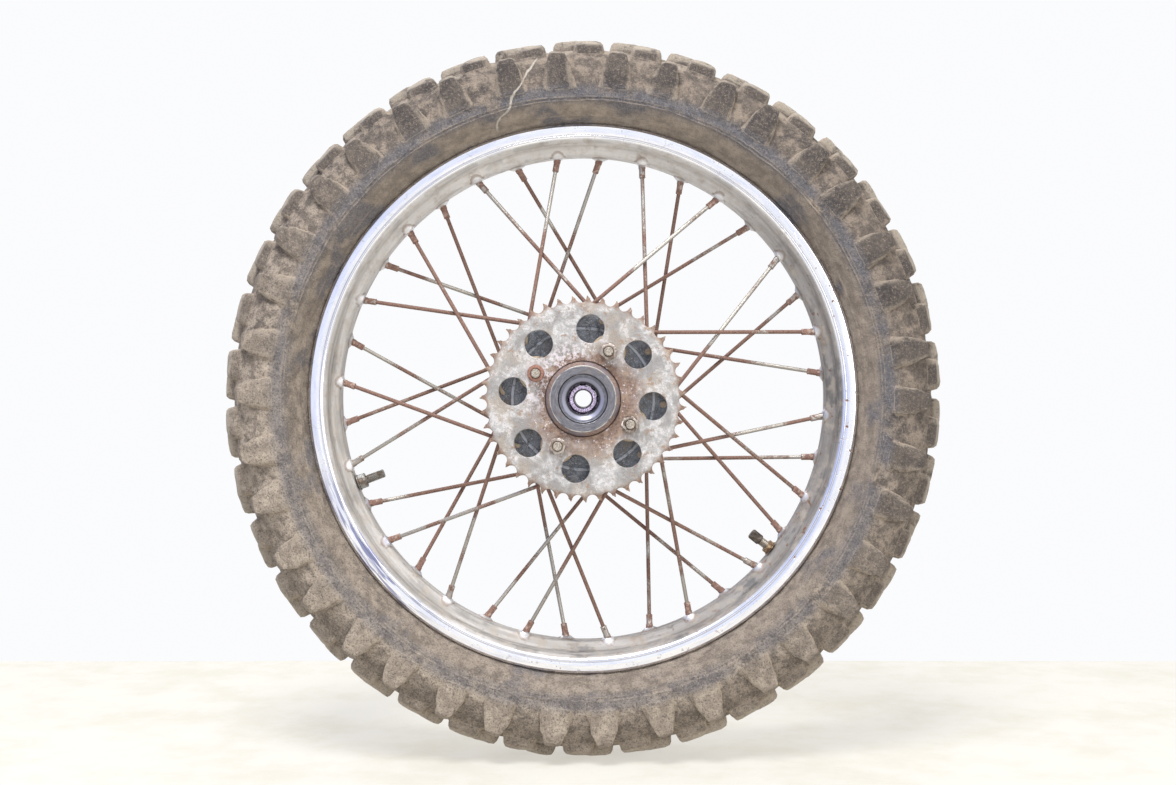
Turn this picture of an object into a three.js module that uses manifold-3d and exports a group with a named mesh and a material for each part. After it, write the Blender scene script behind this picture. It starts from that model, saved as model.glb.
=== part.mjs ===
// Spoked motorcycle rear wheel: knobbly 110/80-18 tyre, 1.85 x 18 steel rim, 36 spokes laced 2-cross,
// drum-brake hub on two ball bearings, 43-tooth chain sprocket. Millimetres.
// Origin: on the axle's line, at the middle of the wheel's overall width. The axle lies along Y: the
// sprocket is on the -Y side and the brake drum opens to the +Y side. Places along Y below are measured
// from the rim's mid-plane, and the whole wheel is moved at the end. Angles run from +Z towards +X.

import * as THREE from "three";
import { mergeVertices } from "three/addons/utils/BufferGeometryUtils.js";
import Module from "manifold-3d";

const wasm = await Module();
wasm.setup();

// ---- Driving dimensions ------------------------------------------------------------------------

const GAP = 0.3; // clearance left between two separate pieces
const RIM_PLANE_Y = 8.5; // from the origin to the rim's mid-plane

const SPOKES = 36;
const STEP = 360 / SPOKES;
const FIRST_SPOKE_ANGLE = 4;
const LACING_ANGLE = 40; // from a spoke's rim hole to its flange hole
const RING_START = FIRST_SPOKE_ANGLE - STEP / 2; // puts every spoke hole in the middle of a facet

const RIM_WELL_RADIUS = 217; // hub-side face of the well
const RIM_SHEET = 2.6;
const RIM_FLANGE_RADIUS = 242; // an 18 inch bead seat of 456 mm plus two 13 mm flanges
const NIPPLE_OFFSET = 5; // sideways stagger of the spoke holes in the well

const TYRE_RADIUS = 319;
const TREAD_BASE_RADIUS = 306;
const LUGS = 38;
const LUG_PITCH = 360 / LUGS;

const WIRE_RADIUS = 1.75;
const NIPPLE_RADIUS = 3.1;
const NIPPLE_LENGTH = 14;
const SPOKE_CIRCLE = 69.5; // radius of the spoke holes in both hub flanges
const SPOKE_HOLE_RADIUS = 2.3;

const NEAR_FLANGE = { outer: -45.7, inner: -42, side: -1 }; // faces at the spoke circle
const FAR_FLANGE = { outer: 39.8, inner: 36, side: 1 };

const BEARING = { bore: 7.5, inner: 11.75, race: 16.9, outer: 21, width: 13, ballCircle: 14.25 };
const BEARING_SIDES = 20;
const BALLS = 8;
const BALL_RADIUS = 3.4;
const SPROCKET_BEARING_Y = -51.3;
const DRUM_BEARING_Y = 19.3;

const SPROCKET = { teeth: 43, pitch: 12.7, back: -53, front: -60, bore: 32.6 };
const HUB_SPIGOT_RADIUS = 32.2;
const STUD_CIRCLE = 46;
const STUD_RADIUS = 4;
const FIRST_STUD_ANGLE = 28.3;
const PAD_RADIUS = 15.5;
const STUDS = 4;

const VALVE_ANGLE = 128.7;
const LOCK_ANGLE = 249.5;
const STEM_RADIUS = 4;
const STEM_TIP_RADIUS = 2.6;

const DRUM_RADIUS = 55;

// ---- Helpers -----------------------------------------------------------------------------------

const radians = THREE.MathUtils.degToRad;
const ALONG_X = new THREE.Vector3(1, 0, 0);
const ALONG_Y = new THREE.Vector3(0, 1, 0);
const ALONG_Z = new THREE.Vector3(0, 0, 1);

// A point at an angle round the axle, a radius from it, and a place along it.
function polar(angle, radius, y) {
  const a = radians(angle);
  return new THREE.Vector3(radius * Math.sin(a), y, radius * Math.cos(a));
}

function toSolid(geometry) {
  const bare = geometry.clone();
  bare.deleteAttribute("normal");
  bare.deleteAttribute("uv");
  const merged = mergeVertices(bare, 1e-4);
  const vertProperties = new Float32Array(merged.attributes.position.array);
  const triVerts = new Uint32Array(merged.index.array);
  return new wasm.Manifold(new wasm.Mesh({ numProp: 3, vertProperties, triVerts }));
}

function toGeometry(solid) {
  const mesh = solid.getMesh();
  const geometry = new THREE.BufferGeometry();
  geometry.setAttribute("position", new THREE.BufferAttribute(mesh.vertProperties, 3));
  geometry.setIndex(new THREE.BufferAttribute(mesh.triVerts, 1));
  geometry.computeVertexNormals();
  return geometry;
}

// A ring turned about Y from a closed outline of [y, radius] points.
function ring(outline, segments, startAngle = RING_START) {
  const points = outline.map(([y, r]) => new THREE.Vector2(r, y));
  if (THREE.ShapeUtils.isClockWise(points)) points.reverse();
  points.push(points[0].clone());
  return new THREE.LatheGeometry(points, segments, radians(startAngle), 2 * Math.PI);
}

// A solid of revolution about Y from an open outline of [y, radius] points, closed on its axis.
function turned(outline, segments) {
  const points = outline.map(([y, r]) => new THREE.Vector2(r, y));
  points.unshift(new THREE.Vector2(0, outline[0][0]));
  points.push(new THREE.Vector2(0, outline[outline.length - 1][0]));
  return new THREE.LatheGeometry(points, segments);
}

// One half of an outline of [y, radius] points, joined to its mirror image across the mid-plane.
function mirrored(half) {
  const other = half.map(([y, r]) => [-y, r]).reverse();
  return [...half, ...other];
}

// A flat shape in the wheel plane (x, z), as thick as the distance between two places along Y.
function plate(shape, yLow, yHigh) {
  const depth = yHigh - yLow;
  const geometry = new THREE.ExtrudeGeometry(shape, { depth, bevelEnabled: false, curveSegments: 6 });
  return geometry.rotateX(Math.PI / 2).translate(0, yHigh, 0);
}

// Turns a piece made along +Y so that +Y points along a direction, with its origin at a point.
function aimed(geometry, from, direction) {
  const turn = new THREE.Quaternion();
  turn.setFromUnitVectors(ALONG_Y, direction.clone().normalize());
  return geometry.applyQuaternion(turn).translate(from.x, from.y, from.z);
}

// A piece made along +Y, set to point straight out from the axle at an angle.
function radial(geometry, angle) {
  return aimed(geometry, new THREE.Vector3(), polar(angle, 1, 0));
}

function radialHole(angle, radius, fromRadius, toRadius) {
  return toSolid(radial(turned([[fromRadius, radius], [toRadius, radius]], 8), angle));
}

// ---- Materials ---------------------------------------------------------------------------------

function material(color, roughness, metalness) {
  return new THREE.MeshStandardMaterial({ color, roughness, metalness });
}

const RUBBER = material(0x4a433c, 0.95, 0);
const TUBE_RUBBER = material(0x1c1c1e, 0.7, 0);
const CHROME = material(0xd7dbe2, 0.15, 1);
const RUSTY_WIRE = material(0x84665a, 0.65, 0.5);
const HUB_PAINT = material(0x3a414b, 0.5, 0.3);
const WORN_STEEL = material(0xa89f94, 0.7, 0.5);
const BRIGHT_STEEL = material(0xb4b6ba, 0.3, 1);
const CAST_IRON = material(0x56524e, 0.6, 0.7);
const BRASS = material(0xa5824f, 0.5, 0.8);
const SEAL_GREY = material(0x71757d, 0.45, 0.2);

const wheel = new THREE.Group();

function addPiece(name, geometry, look) {
  const mesh = new THREE.Mesh(geometry, look);
  mesh.name = name;
  wheel.add(mesh);
  return mesh;
}

// ---- Tyre, tube and rim band -------------------------------------------------------------------

// Half an outline of the casing: inside from crown to bead, then outside from bead to shoulder.
const CASING = [
  [32, 298], [44.5, 268], [19.5, 243.5],
  [15.2, 228.7], [22.2, 229.9], [24.2, 241], [27, 243.5], [52.8, 267],
  [41, TREAD_BASE_RADIUS],
];
const FIRST_SIDE_BLOCK = 5.8;
const CASING_START = FIRST_SIDE_BLOCK - LUG_PITCH / 2;

// One block across the crown. Its flat top corners reach the tyre's full radius.
function crownBlock(angle) {
  const width = 44;
  const top = Math.sqrt(TYRE_RADIUS ** 2 - (width / 2) ** 2);
  const outline = [[34, 303], [36, top - 9], [14, top]];
  const shape = new THREE.Shape(mirrored(outline).map(([y, r]) => new THREE.Vector2(y, r)));
  const block = new THREE.ExtrudeGeometry(shape, { depth: width, bevelEnabled: false });
  block.translate(0, 0, -width / 2);
  // The outline goes to the plane of Y and the radius, with its thickness along the tread.
  block.applyMatrix4(new THREE.Matrix4().makeBasis(ALONG_Y, ALONG_Z, ALONG_X));
  return toSolid(block.rotateY(radians(angle)));
}

// One tapered block on the shoulder: narrower at its top, and leaning in over the crown.
function sideBlock(angle, side) {
  const foot = 269;
  const lean = 0.1;
  const shape = new THREE.Shape();
  shape.moveTo(-12.8, foot);
  shape.lineTo(12.8, foot);
  shape.lineTo(9.3, 303);
  shape.lineTo(-9.3, 303);
  const block = plate(shape, 45.2, 54);
  const shear = new THREE.Matrix4().set(1, 0, 0, 0, 0, 1, -lean, foot * lean, 0, 0, 1, 0, 0, 0, 0, 1);
  block.applyMatrix4(shear);
  if (side < 0) block.rotateZ(Math.PI);
  return toSolid(block.rotateY(radians(angle)));
}

function tyre() {
  let solid = toSolid(ring(mirrored(CASING), LUGS, CASING_START));
  for (let k = 0; k < LUGS; k += 1) {
    const nudge = k % 2 ? -0.8 : 0; // side blocks sit in pairs, slightly closer to one neighbour
    const angle = FIRST_SIDE_BLOCK + LUG_PITCH * k;
    solid = solid.add(crownBlock(angle + 2.8));
    solid = solid.add(sideBlock(angle + nudge, -1)).add(sideBlock(angle + nudge, 1));
  }
  return toGeometry(solid);
}

// An inflated ring with its valve stem; the bore of the stem opens into the tube.
function innerTube() {
  const skin = mirrored([[10, 236.5], [33, 262], [42, 271.5], [29, 294]]);
  const hollow = mirrored([[9, 239.2], [31.5, 264.2], [39.3, 272], [27.4, 291.5]]);
  const stem = turned([[195.5, STEM_TIP_RADIUS], [204, STEM_TIP_RADIUS], [204, STEM_RADIUS],
    [230, STEM_RADIUS], [236, 9]], 8);
  return toGeometry(toSolid(ring(skin, 24))
    .add(toSolid(radial(stem, VALVE_ANGLE)))
    .subtract(toSolid(ring(hollow, 24)))
    .subtract(radialHole(VALVE_ANGLE, 1.3, 195, 242)));
}

function rimBand() {
  const strip = ring([[-8.5, 225.8], [8.5, 225.8], [8.5, 227.3], [-8.5, 227.3]], SPOKES);
  return toGeometry(toSolid(strip)
    .subtract(radialHole(VALVE_ANGLE, STEM_RADIUS + 0.6, 220, 232))
    .subtract(radialHole(LOCK_ANGLE, STUD_RADIUS + 0.6, 220, 232)));
}

// ---- Rim ---------------------------------------------------------------------------------------

function rimOutline() {
  const well = RIM_WELL_RADIUS;
  const lip = RIM_FLANGE_RADIUS;
  const hubSide = [[9.5, well], [15, 224.6], [25.5, 226.2]];
  const flange = [[30, 231], [30, 239.5], [27.8, lip]];
  const tyreSide = [[24.9, 239.5], [22.9, 228.6], [15.4, 227.2], [9.9, well + RIM_SHEET]];
  return mirrored([...hubSide, ...flange, ...tyreSide]);
}

function rim() {
  let solid = toSolid(ring(rimOutline(), SPOKES));
  for (const spoke of spokeList()) {
    const hole = turned([[-8, NIPPLE_RADIUS + 0.35], [8, NIPPLE_RADIUS + 0.35]], 6);
    solid = solid.subtract(toSolid(aimed(hole, spoke.rimPoint, spoke.direction)));
  }
  return toGeometry(solid
    .subtract(radialHole(VALVE_ANGLE, STEM_RADIUS + 0.5, 210, 224))
    .subtract(radialHole(LOCK_ANGLE, STUD_RADIUS + 0.5, 210, 224)));
}

// ---- Spokes ------------------------------------------------------------------------------------

// Every spoke's place: even ones go to the far (drum) flange, odd ones to the near (sprocket) flange.
// Along each flange they lean forwards and backwards in turn. One half of them have their heads on the
// flange's outer face and leave from its inner face; the other half have their elbows outside.
function spokeList() {
  return Array.from({ length: SPOKES }, (_, k) => {
    const flange = k % 2 ? NEAR_FLANGE : FAR_FLANGE;
    const lean = isForward(k) ? 1 : -1;
    const rimAngle = FIRST_SPOKE_ANGLE + STEP * k;
    const hubAngle = rimAngle + lean * LACING_ANGLE;
    const headOut = lean * -flange.side > 0;
    const clear = 0.45 + WIRE_RADIUS;
    const slopeRoom = 0.6; // the flange's outer face is dished, so heads and elbows stand off it
    const elbowOutside = flange.outer + flange.side * (clear + slopeRoom);
    const elbowY = headOut ? flange.inner - flange.side * clear : elbowOutside;
    const headY = headOut ? flange.outer + flange.side * (slopeRoom + 0.4) : flange.inner - flange.side * 0.4;
    const elbow = polar(hubAngle, SPOKE_CIRCLE, elbowY);
    const head = polar(hubAngle, SPOKE_CIRCLE, headY);
    const rimPoint = polar(rimAngle, RIM_WELL_RADIUS, flange.side * NIPPLE_OFFSET);
    const direction = rimPoint.clone().sub(elbow);
    return { k, elbow, head, rimPoint, direction, length: direction.length() };
  });
}

// Near spokes lean forwards at 14, 54, 94 ... degrees and far spokes at 24, 64, 104 ... degrees.
function isForward(k) {
  return k % 4 === 1 || k % 4 === 2;
}

// A straight headed rod with its nipple, turned along +Y from the elbow, whose head end is then bent
// round the elbow to point back along the flange hole.
function spoke({ elbow, head, direction, length }) {
  const shank = elbow.distanceTo(head);
  const rod = turned([
    [-shank - 2, 3], [-shank, WIRE_RADIUS], [0, WIRE_RADIUS], [length - NIPPLE_LENGTH, WIRE_RADIUS],
    [length - NIPPLE_LENGTH + 0.8, NIPPLE_RADIUS], [length + 4.6, NIPPLE_RADIUS], [length + 6.6, 4.4],
  ], 6);
  const along = new THREE.Quaternion().setFromUnitVectors(ALONG_Y, direction.clone().normalize());
  const shankLine = elbow.clone().sub(head).normalize();
  const bend = new THREE.Quaternion().setFromUnitVectors(direction.clone().normalize(), shankLine);
  const halfBend = new THREE.Quaternion().slerp(bend, 0.5);
  const places = rod.attributes.position;
  const point = new THREE.Vector3();
  for (let i = 0; i < places.count; i += 1) {
    point.fromBufferAttribute(places, i);
    const beforeElbow = point.y < -0.5;
    const atElbow = Math.abs(point.y) <= 0.5;
    point.applyQuaternion(along);
    if (beforeElbow) point.applyQuaternion(bend);
    if (atElbow) point.applyQuaternion(halfBend);
    places.setXYZ(i, ...point.add(elbow).toArray());
  }
  return rod;
}

// ---- Hub ---------------------------------------------------------------------------------------

function hubOutline() {
  const seat = BEARING.outer + GAP;
  const drumWall = DRUM_RADIUS + 4;
  const sprocketEnd = [[-66, seat], [-66, 28.5], [-61.5, HUB_SPIGOT_RADIUS],
    [-52.7, HUB_SPIGOT_RADIUS], [-52.7, 42], [-46.5, 42]];
  const nearFlange = [[-46.5, 66], [-44.3, 75.5], [-42.2, 75.5], [-41.5, 48]];
  const barrel = [[-34, 34], [6, 34], [16, 52], [18, 64]];
  const farFlange = [[36, 64], [36.6, 75.5], [38.4, 75.5], [40.6, 66], [50, 64]];
  const drum = [[50, drumWall], [20, drumWall], [20, 30], [27, 28]];
  const bore = [[27, seat], [DRUM_BEARING_Y - 6.8, seat], [DRUM_BEARING_Y - 6.8, 17.5],
    [SPROCKET_BEARING_Y + 6.8, 17.5], [SPROCKET_BEARING_Y + 6.8, seat]];
  return [...sprocketEnd, ...nearFlange, ...barrel, ...farFlange, ...drum, ...bore];
}

// The pad that the sprocket rests on at each stud, with the stud standing out of it.
function studOnPad(angle) {
  const at = polar(angle, STUD_CIRCLE, 0);
  const post = turned([[-71, 3.2], [-70, STUD_RADIUS], [-50, STUD_RADIUS]], 10);
  const pad = turned([[-52.7, PAD_RADIUS], [-44, PAD_RADIUS]], 20);
  return toSolid(post.translate(at.x, 0, at.z)).add(toSolid(pad.translate(at.x, 0, at.z)));
}

function spokeHole({ elbow, head }) {
  const at = elbow.clone().sub(head).normalize();
  const cutter = turned([[-6, SPOKE_HOLE_RADIUS], [14, SPOKE_HOLE_RADIUS]], 6);
  return toSolid(aimed(cutter, head, at));
}

function hub() {
  let solid = toSolid(ring(hubOutline(), SPOKES));
  for (let k = 0; k < STUDS; k += 1) solid = solid.add(studOnPad(FIRST_STUD_ANGLE + k * 90));
  for (const one of spokeList()) solid = solid.subtract(spokeHole(one));
  return toGeometry(solid);
}

// ---- Sprocket ----------------------------------------------------------------------------------

// Worn teeth: a wide round gullet between thin points, drawn from one gullet to the next.
function sprocketShape() {
  const pitchRadius = SPROCKET.pitch / (2 * Math.sin(Math.PI / SPROCKET.teeth));
  const toothAngle = (2 * Math.PI) / SPROCKET.teeth;
  const firstTooth = radians(3);
  const rootRadius = pitchRadius - 4.3;
  const shape = new THREE.Shape();
  const corner = (radius, turn) => [radius * Math.sin(turn), radius * Math.cos(turn)];
  for (let k = 0; k < SPROCKET.teeth; k += 1) {
    const tip = firstTooth + k * toothAngle;
    shape[k ? "lineTo" : "moveTo"](...corner(pitchRadius + 2, tip));
    shape.lineTo(...corner(rootRadius + 0.3, tip + toothAngle * 0.28));
    shape.lineTo(...corner(rootRadius, tip + toothAngle * 0.66));
  }
  return shape;
}

// A hole with flat sides, none of them nearer to its centre than the radius.
function roundHole(x, z, radius, sides) {
  const corner = radius / Math.cos(Math.PI / sides);
  const corners = Array.from({ length: sides }, (_, k) => {
    const turn = (2 * Math.PI * k) / sides;
    return new THREE.Vector2(x + corner * Math.cos(turn), z + corner * Math.sin(turn));
  });
  return new THREE.Path(corners);
}

function sprocket() {
  const shape = sprocketShape();
  shape.holes.push(roundHole(0, 0, SPROCKET.bore, 24));
  for (let k = 0; k < 8; k += 1) {
    const at = polar(6 + 45 * k, 60.5, 0);
    shape.holes.push(roundHole(at.x, at.z, 12.2, 14));
  }
  for (let k = 0; k < STUDS; k += 1) {
    const at = polar(FIRST_STUD_ANGLE + 90 * k, STUD_CIRCLE, 0);
    shape.holes.push(roundHole(at.x, at.z, STUD_RADIUS + 0.5, 8));
  }
  return plate(shape, SPROCKET.front, SPROCKET.back);
}

// A hexagon nut about Y, from yLow to yHigh.
function nut(acrossFlats, bore, yLow, yHigh) {
  const corner = acrossFlats / Math.sqrt(3);
  const hexagon = new THREE.Shape();
  for (let k = 0; k < 6; k += 1) {
    const turn = (k * Math.PI) / 3;
    hexagon[k ? "lineTo" : "moveTo"](corner * Math.cos(turn), corner * Math.sin(turn));
  }
  hexagon.holes.push(roundHole(0, 0, bore, 8));
  return plate(hexagon, yLow, yHigh);
}

// ---- Bearings, seal and distance tube ----------------------------------------------------------

function bearingInnerRing(y) {
  const half = BEARING.width / 2;
  return ring([[y - half, BEARING.bore], [y - half, BEARING.inner], [y - 3.6, BEARING.inner], [y, 10],
    [y + 3.6, BEARING.inner], [y + half, BEARING.inner], [y + half, BEARING.bore]], BEARING_SIDES);
}

function bearingOuterRing(y) {
  const half = BEARING.width / 2;
  return ring([[y - half, BEARING.outer], [y + half, BEARING.outer], [y + half, BEARING.race],
    [y + 3.6, BEARING.race], [y, 18.6], [y - 3.6, BEARING.race], [y - half, BEARING.race]],
    BEARING_SIDES);
}

// Eight balls held in one wide cage ring, which nearly closes the gap between the two rings.
function ballCage(y) {
  const band = ring([[y - 1.2, 12.4], [y + 1.2, 12.4], [y + 1.2, 16.4], [y - 1.2, 16.4]], 2 * BALLS, 0);
  let solid = toSolid(band);
  for (let k = 0; k < BALLS; k += 1) {
    const at = polar((360 / BALLS) * k, BEARING.ballCircle, y);
    const ball = new THREE.IcosahedronGeometry(BALL_RADIUS, 0).translate(at.x, at.y, at.z);
    solid = solid.add(toSolid(ball));
  }
  return toGeometry(solid);
}

function oilSeal() {
  return ring([[-65.6, 21], [-65.6, 18], [-62.5, 14], [-60.5, 13.4], [-61, 17.5], [-59, 21]], 24);
}

function distanceTube() {
  const from = SPROCKET_BEARING_Y + BEARING.width / 2 + GAP;
  const to = DRUM_BEARING_Y - BEARING.width / 2 - GAP;
  return ring([[from, 7.8], [to, 7.8], [to, 10.5], [from, 10.5]], 16);
}

function drumLiner() {
  const back = DRUM_RADIUS + 3.6;
  return ring([[20.3, DRUM_RADIUS], [49.2, DRUM_RADIUS], [49.2, back], [20.3, back]], SPOKES);
}

// ---- Valve and rim lock ------------------------------------------------------------------------

function valveNut() {
  return radial(nut(12, STEM_RADIUS + GAP, 210.8, 215.4), VALVE_ANGLE);
}

function valveCap() {
  const cap = turned([[193, 4.2], [194, 4.7], [203.7, 4.7]], 10);
  return toGeometry(toSolid(radial(cap, VALVE_ANGLE))
    .subtract(radialHole(VALVE_ANGLE, STEM_TIP_RADIUS + 0.4, 195, 205)));
}

// The curved pad that grips the tyre's beads, with the stud that is pulled tight through the rim.
function rimLock() {
  const shape = new THREE.Shape();
  const middle = radians(90 - LOCK_ANGLE);
  const spread = radians(7);
  shape.absarc(0, 0, 233.6, middle - spread, middle + spread, false);
  shape.absarc(0, 0, 228.2, middle + spread, middle - spread, true);
  const pad = plate(shape, -12, 12);
  const stud = turned([[191, STUD_RADIUS - 0.7], [192, STUD_RADIUS], [231, STUD_RADIUS]], 10);
  return toGeometry(toSolid(pad).add(toSolid(radial(stud, LOCK_ANGLE))));
}

function rimLockNut() {
  return radial(nut(13, STUD_RADIUS + GAP, 208, 215.4), LOCK_ANGLE);
}

// ---- Assembly ----------------------------------------------------------------------------------

addPiece("tyre", tyre(), RUBBER);
addPiece("inner_tube", innerTube(), TUBE_RUBBER);
addPiece("rim_band", rimBand(), TUBE_RUBBER);
addPiece("rim", rim(), CHROME);

for (const one of spokeList()) {
  const number = String(one.k + 1).padStart(2, "0");
  addPiece(`spoke_${number}`, spoke(one), RUSTY_WIRE);
}

addPiece("hub", hub(), HUB_PAINT);
addPiece("drum_liner", drumLiner(), CAST_IRON);
addPiece("sprocket", sprocket(), WORN_STEEL);

for (let k = 0; k < STUDS; k += 1) {
  const piece = nut(13, STUD_RADIUS + GAP, -66.8, SPROCKET.front - GAP);
  const mesh = addPiece(`sprocket_nut_${k + 1}`, piece, WORN_STEEL);
  mesh.position.copy(polar(FIRST_STUD_ANGLE + 90 * k, STUD_CIRCLE, 0));
}

const bearings = { sprocket: SPROCKET_BEARING_Y, drum: DRUM_BEARING_Y };
for (const [side, y] of Object.entries(bearings)) {
  addPiece(`${side}_bearing_outer_ring`, bearingOuterRing(y), BRIGHT_STEEL);
  addPiece(`${side}_bearing_inner_ring`, bearingInnerRing(y), BRIGHT_STEEL);
  addPiece(`${side}_bearing_ball_cage`, ballCage(y), BRIGHT_STEEL);
}

addPiece("distance_tube", distanceTube(), WORN_STEEL);
addPiece("oil_seal", oilSeal(), SEAL_GREY);
addPiece("valve_nut", valveNut(), BRASS);
addPiece("valve_cap", valveCap(), TUBE_RUBBER);
addPiece("rim_lock", rimLock(), WORN_STEEL);
addPiece("rim_lock_nut", rimLockNut(), WORN_STEEL);

wheel.position.y = RIM_PLANE_Y;

export default wheel;
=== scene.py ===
"""A used spoked motorcycle rear wheel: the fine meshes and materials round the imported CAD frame.

Metres, +Z up, the axle along Y, the sprocket side towards -Y. Sizes below are in millimetres, places
along the axle are measured from the rim's mid-plane, and angles run in degrees from +Z towards +X,
seen from the sprocket side.
"""

import math
import random

import bmesh
import bpy
import numpy as np
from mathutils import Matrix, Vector, geometry, noise


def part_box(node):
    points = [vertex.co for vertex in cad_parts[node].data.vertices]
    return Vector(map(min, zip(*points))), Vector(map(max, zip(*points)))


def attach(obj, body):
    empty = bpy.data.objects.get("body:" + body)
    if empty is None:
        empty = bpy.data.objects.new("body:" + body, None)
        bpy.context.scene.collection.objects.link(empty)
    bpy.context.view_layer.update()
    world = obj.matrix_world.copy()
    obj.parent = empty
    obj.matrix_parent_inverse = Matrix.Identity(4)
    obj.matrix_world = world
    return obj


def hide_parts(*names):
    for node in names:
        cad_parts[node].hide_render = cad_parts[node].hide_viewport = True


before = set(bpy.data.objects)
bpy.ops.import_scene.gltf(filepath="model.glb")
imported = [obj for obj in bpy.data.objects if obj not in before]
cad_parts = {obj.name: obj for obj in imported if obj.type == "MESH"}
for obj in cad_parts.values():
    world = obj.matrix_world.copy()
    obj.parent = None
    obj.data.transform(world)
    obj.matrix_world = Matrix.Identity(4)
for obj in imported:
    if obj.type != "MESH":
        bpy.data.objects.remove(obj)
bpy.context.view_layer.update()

MM = 0.001
AXLE = Vector((0, 1, 0))
MID_PLANE = sum(corner[1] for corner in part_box("rim")) / 2


# ---- Driving dimensions ----------------------------------------------------------------------------

SPOKES = 36
SPOKE_STEP = 360 / SPOKES
FIRST_SPOKE = 4
LACING = 40
WELL_RADIUS = 217
NIPPLE_OFFSET = 5
SPOKE_CIRCLE = 69.5
NEAR_FLANGE = {"outer": -45.7, "inner": -42.0, "side": -1}
FAR_FLANGE = {"outer": 39.8, "inner": 36.0, "side": 1}
WIRE = 1.75

LUGS = 38
PITCH = 360 / LUGS
FIRST_LUG = 5.8

SPROCKET_TEETH = 43
CHAIN_PITCH = 12.7
SPROCKET_FRONT, SPROCKET_BACK = ((corner[1] - MID_PLANE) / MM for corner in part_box("sprocket"))
STUD_CIRCLE = 46
FIRST_STUD = 28.3
STUD = 4.0

VALVE = 128.7
LOCK = 249.5


# ---- Outlines and places ---------------------------------------------------------------------------

def polar(angle, radius, y):
    """A point in metres at an angle round the axle."""
    a = math.radians(angle)
    return Vector((radius * math.sin(a), y, radius * math.cos(a))) * MM


def outward(angle):
    return polar(angle, 1 / MM, 0)


def rounded(outline, radius, closed=True, steps=4):
    """An outline whose corners become arcs. A point may carry its own corner radius as a third number."""
    corners = [Vector(p[:2]) for p in outline]
    count = len(corners)
    result = []
    for i, corner in enumerate(corners):
        own = outline[i][2] if len(outline[i]) > 2 else radius
        if own <= 0 or (not closed and i in (0, count - 1)):
            result.append(corner)
            continue
        back, ahead = corners[i - 1] - corner, corners[(i + 1) % count] - corner
        half = back.angle(ahead) / 2
        reach = min(own / max(math.tan(half), 0.05), 0.48 * back.length, 0.48 * ahead.length)
        start, end = corner + back.normalized() * reach, corner + ahead.normalized() * reach
        for k in range(steps + 1):
            t = k / steps
            result.append(start * (1 - t) ** 2 + corner * 2 * t * (1 - t) + end * t * t)
    return result


def refined(outline, step, closed=True):
    """An outline with points added so that none are further apart than a step."""
    result = []
    count = len(outline)
    for i in range(count if closed else count - 1):
        a, b = Vector(outline[i]), Vector(outline[(i + 1) % count])
        pieces = max(1, math.ceil((b - a).length / step))
        result += [a.lerp(b, k / pieces) for k in range(pieces)]
    if not closed:
        result.append(Vector(outline[-1]))
    return result


def mirrored(half):
    """Half an outline joined to its mirror image across the wheel's mid-plane."""
    return list(half) + [(-p[0], *p[1:]) for p in reversed(half)]


def smoothstep(value, low, high):
    t = np.clip((value - low) / (high - low), 0, 1)
    return t * t * (3 - 2 * t)


def wobble(points, size, amount, seed):
    """Moves points, in metres, by smooth noise of a feature size and amount in millimetres."""
    shift = Vector((seed * 7.13, seed * 3.71, seed * 5.37))
    moved = np.empty_like(points)
    for i, p in enumerate(points):
        moved[i] = noise.noise_vector(Vector(p) / (size * MM) + shift)
    return points + moved * amount * MM


# ---- Mesh building ---------------------------------------------------------------------------------

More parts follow.
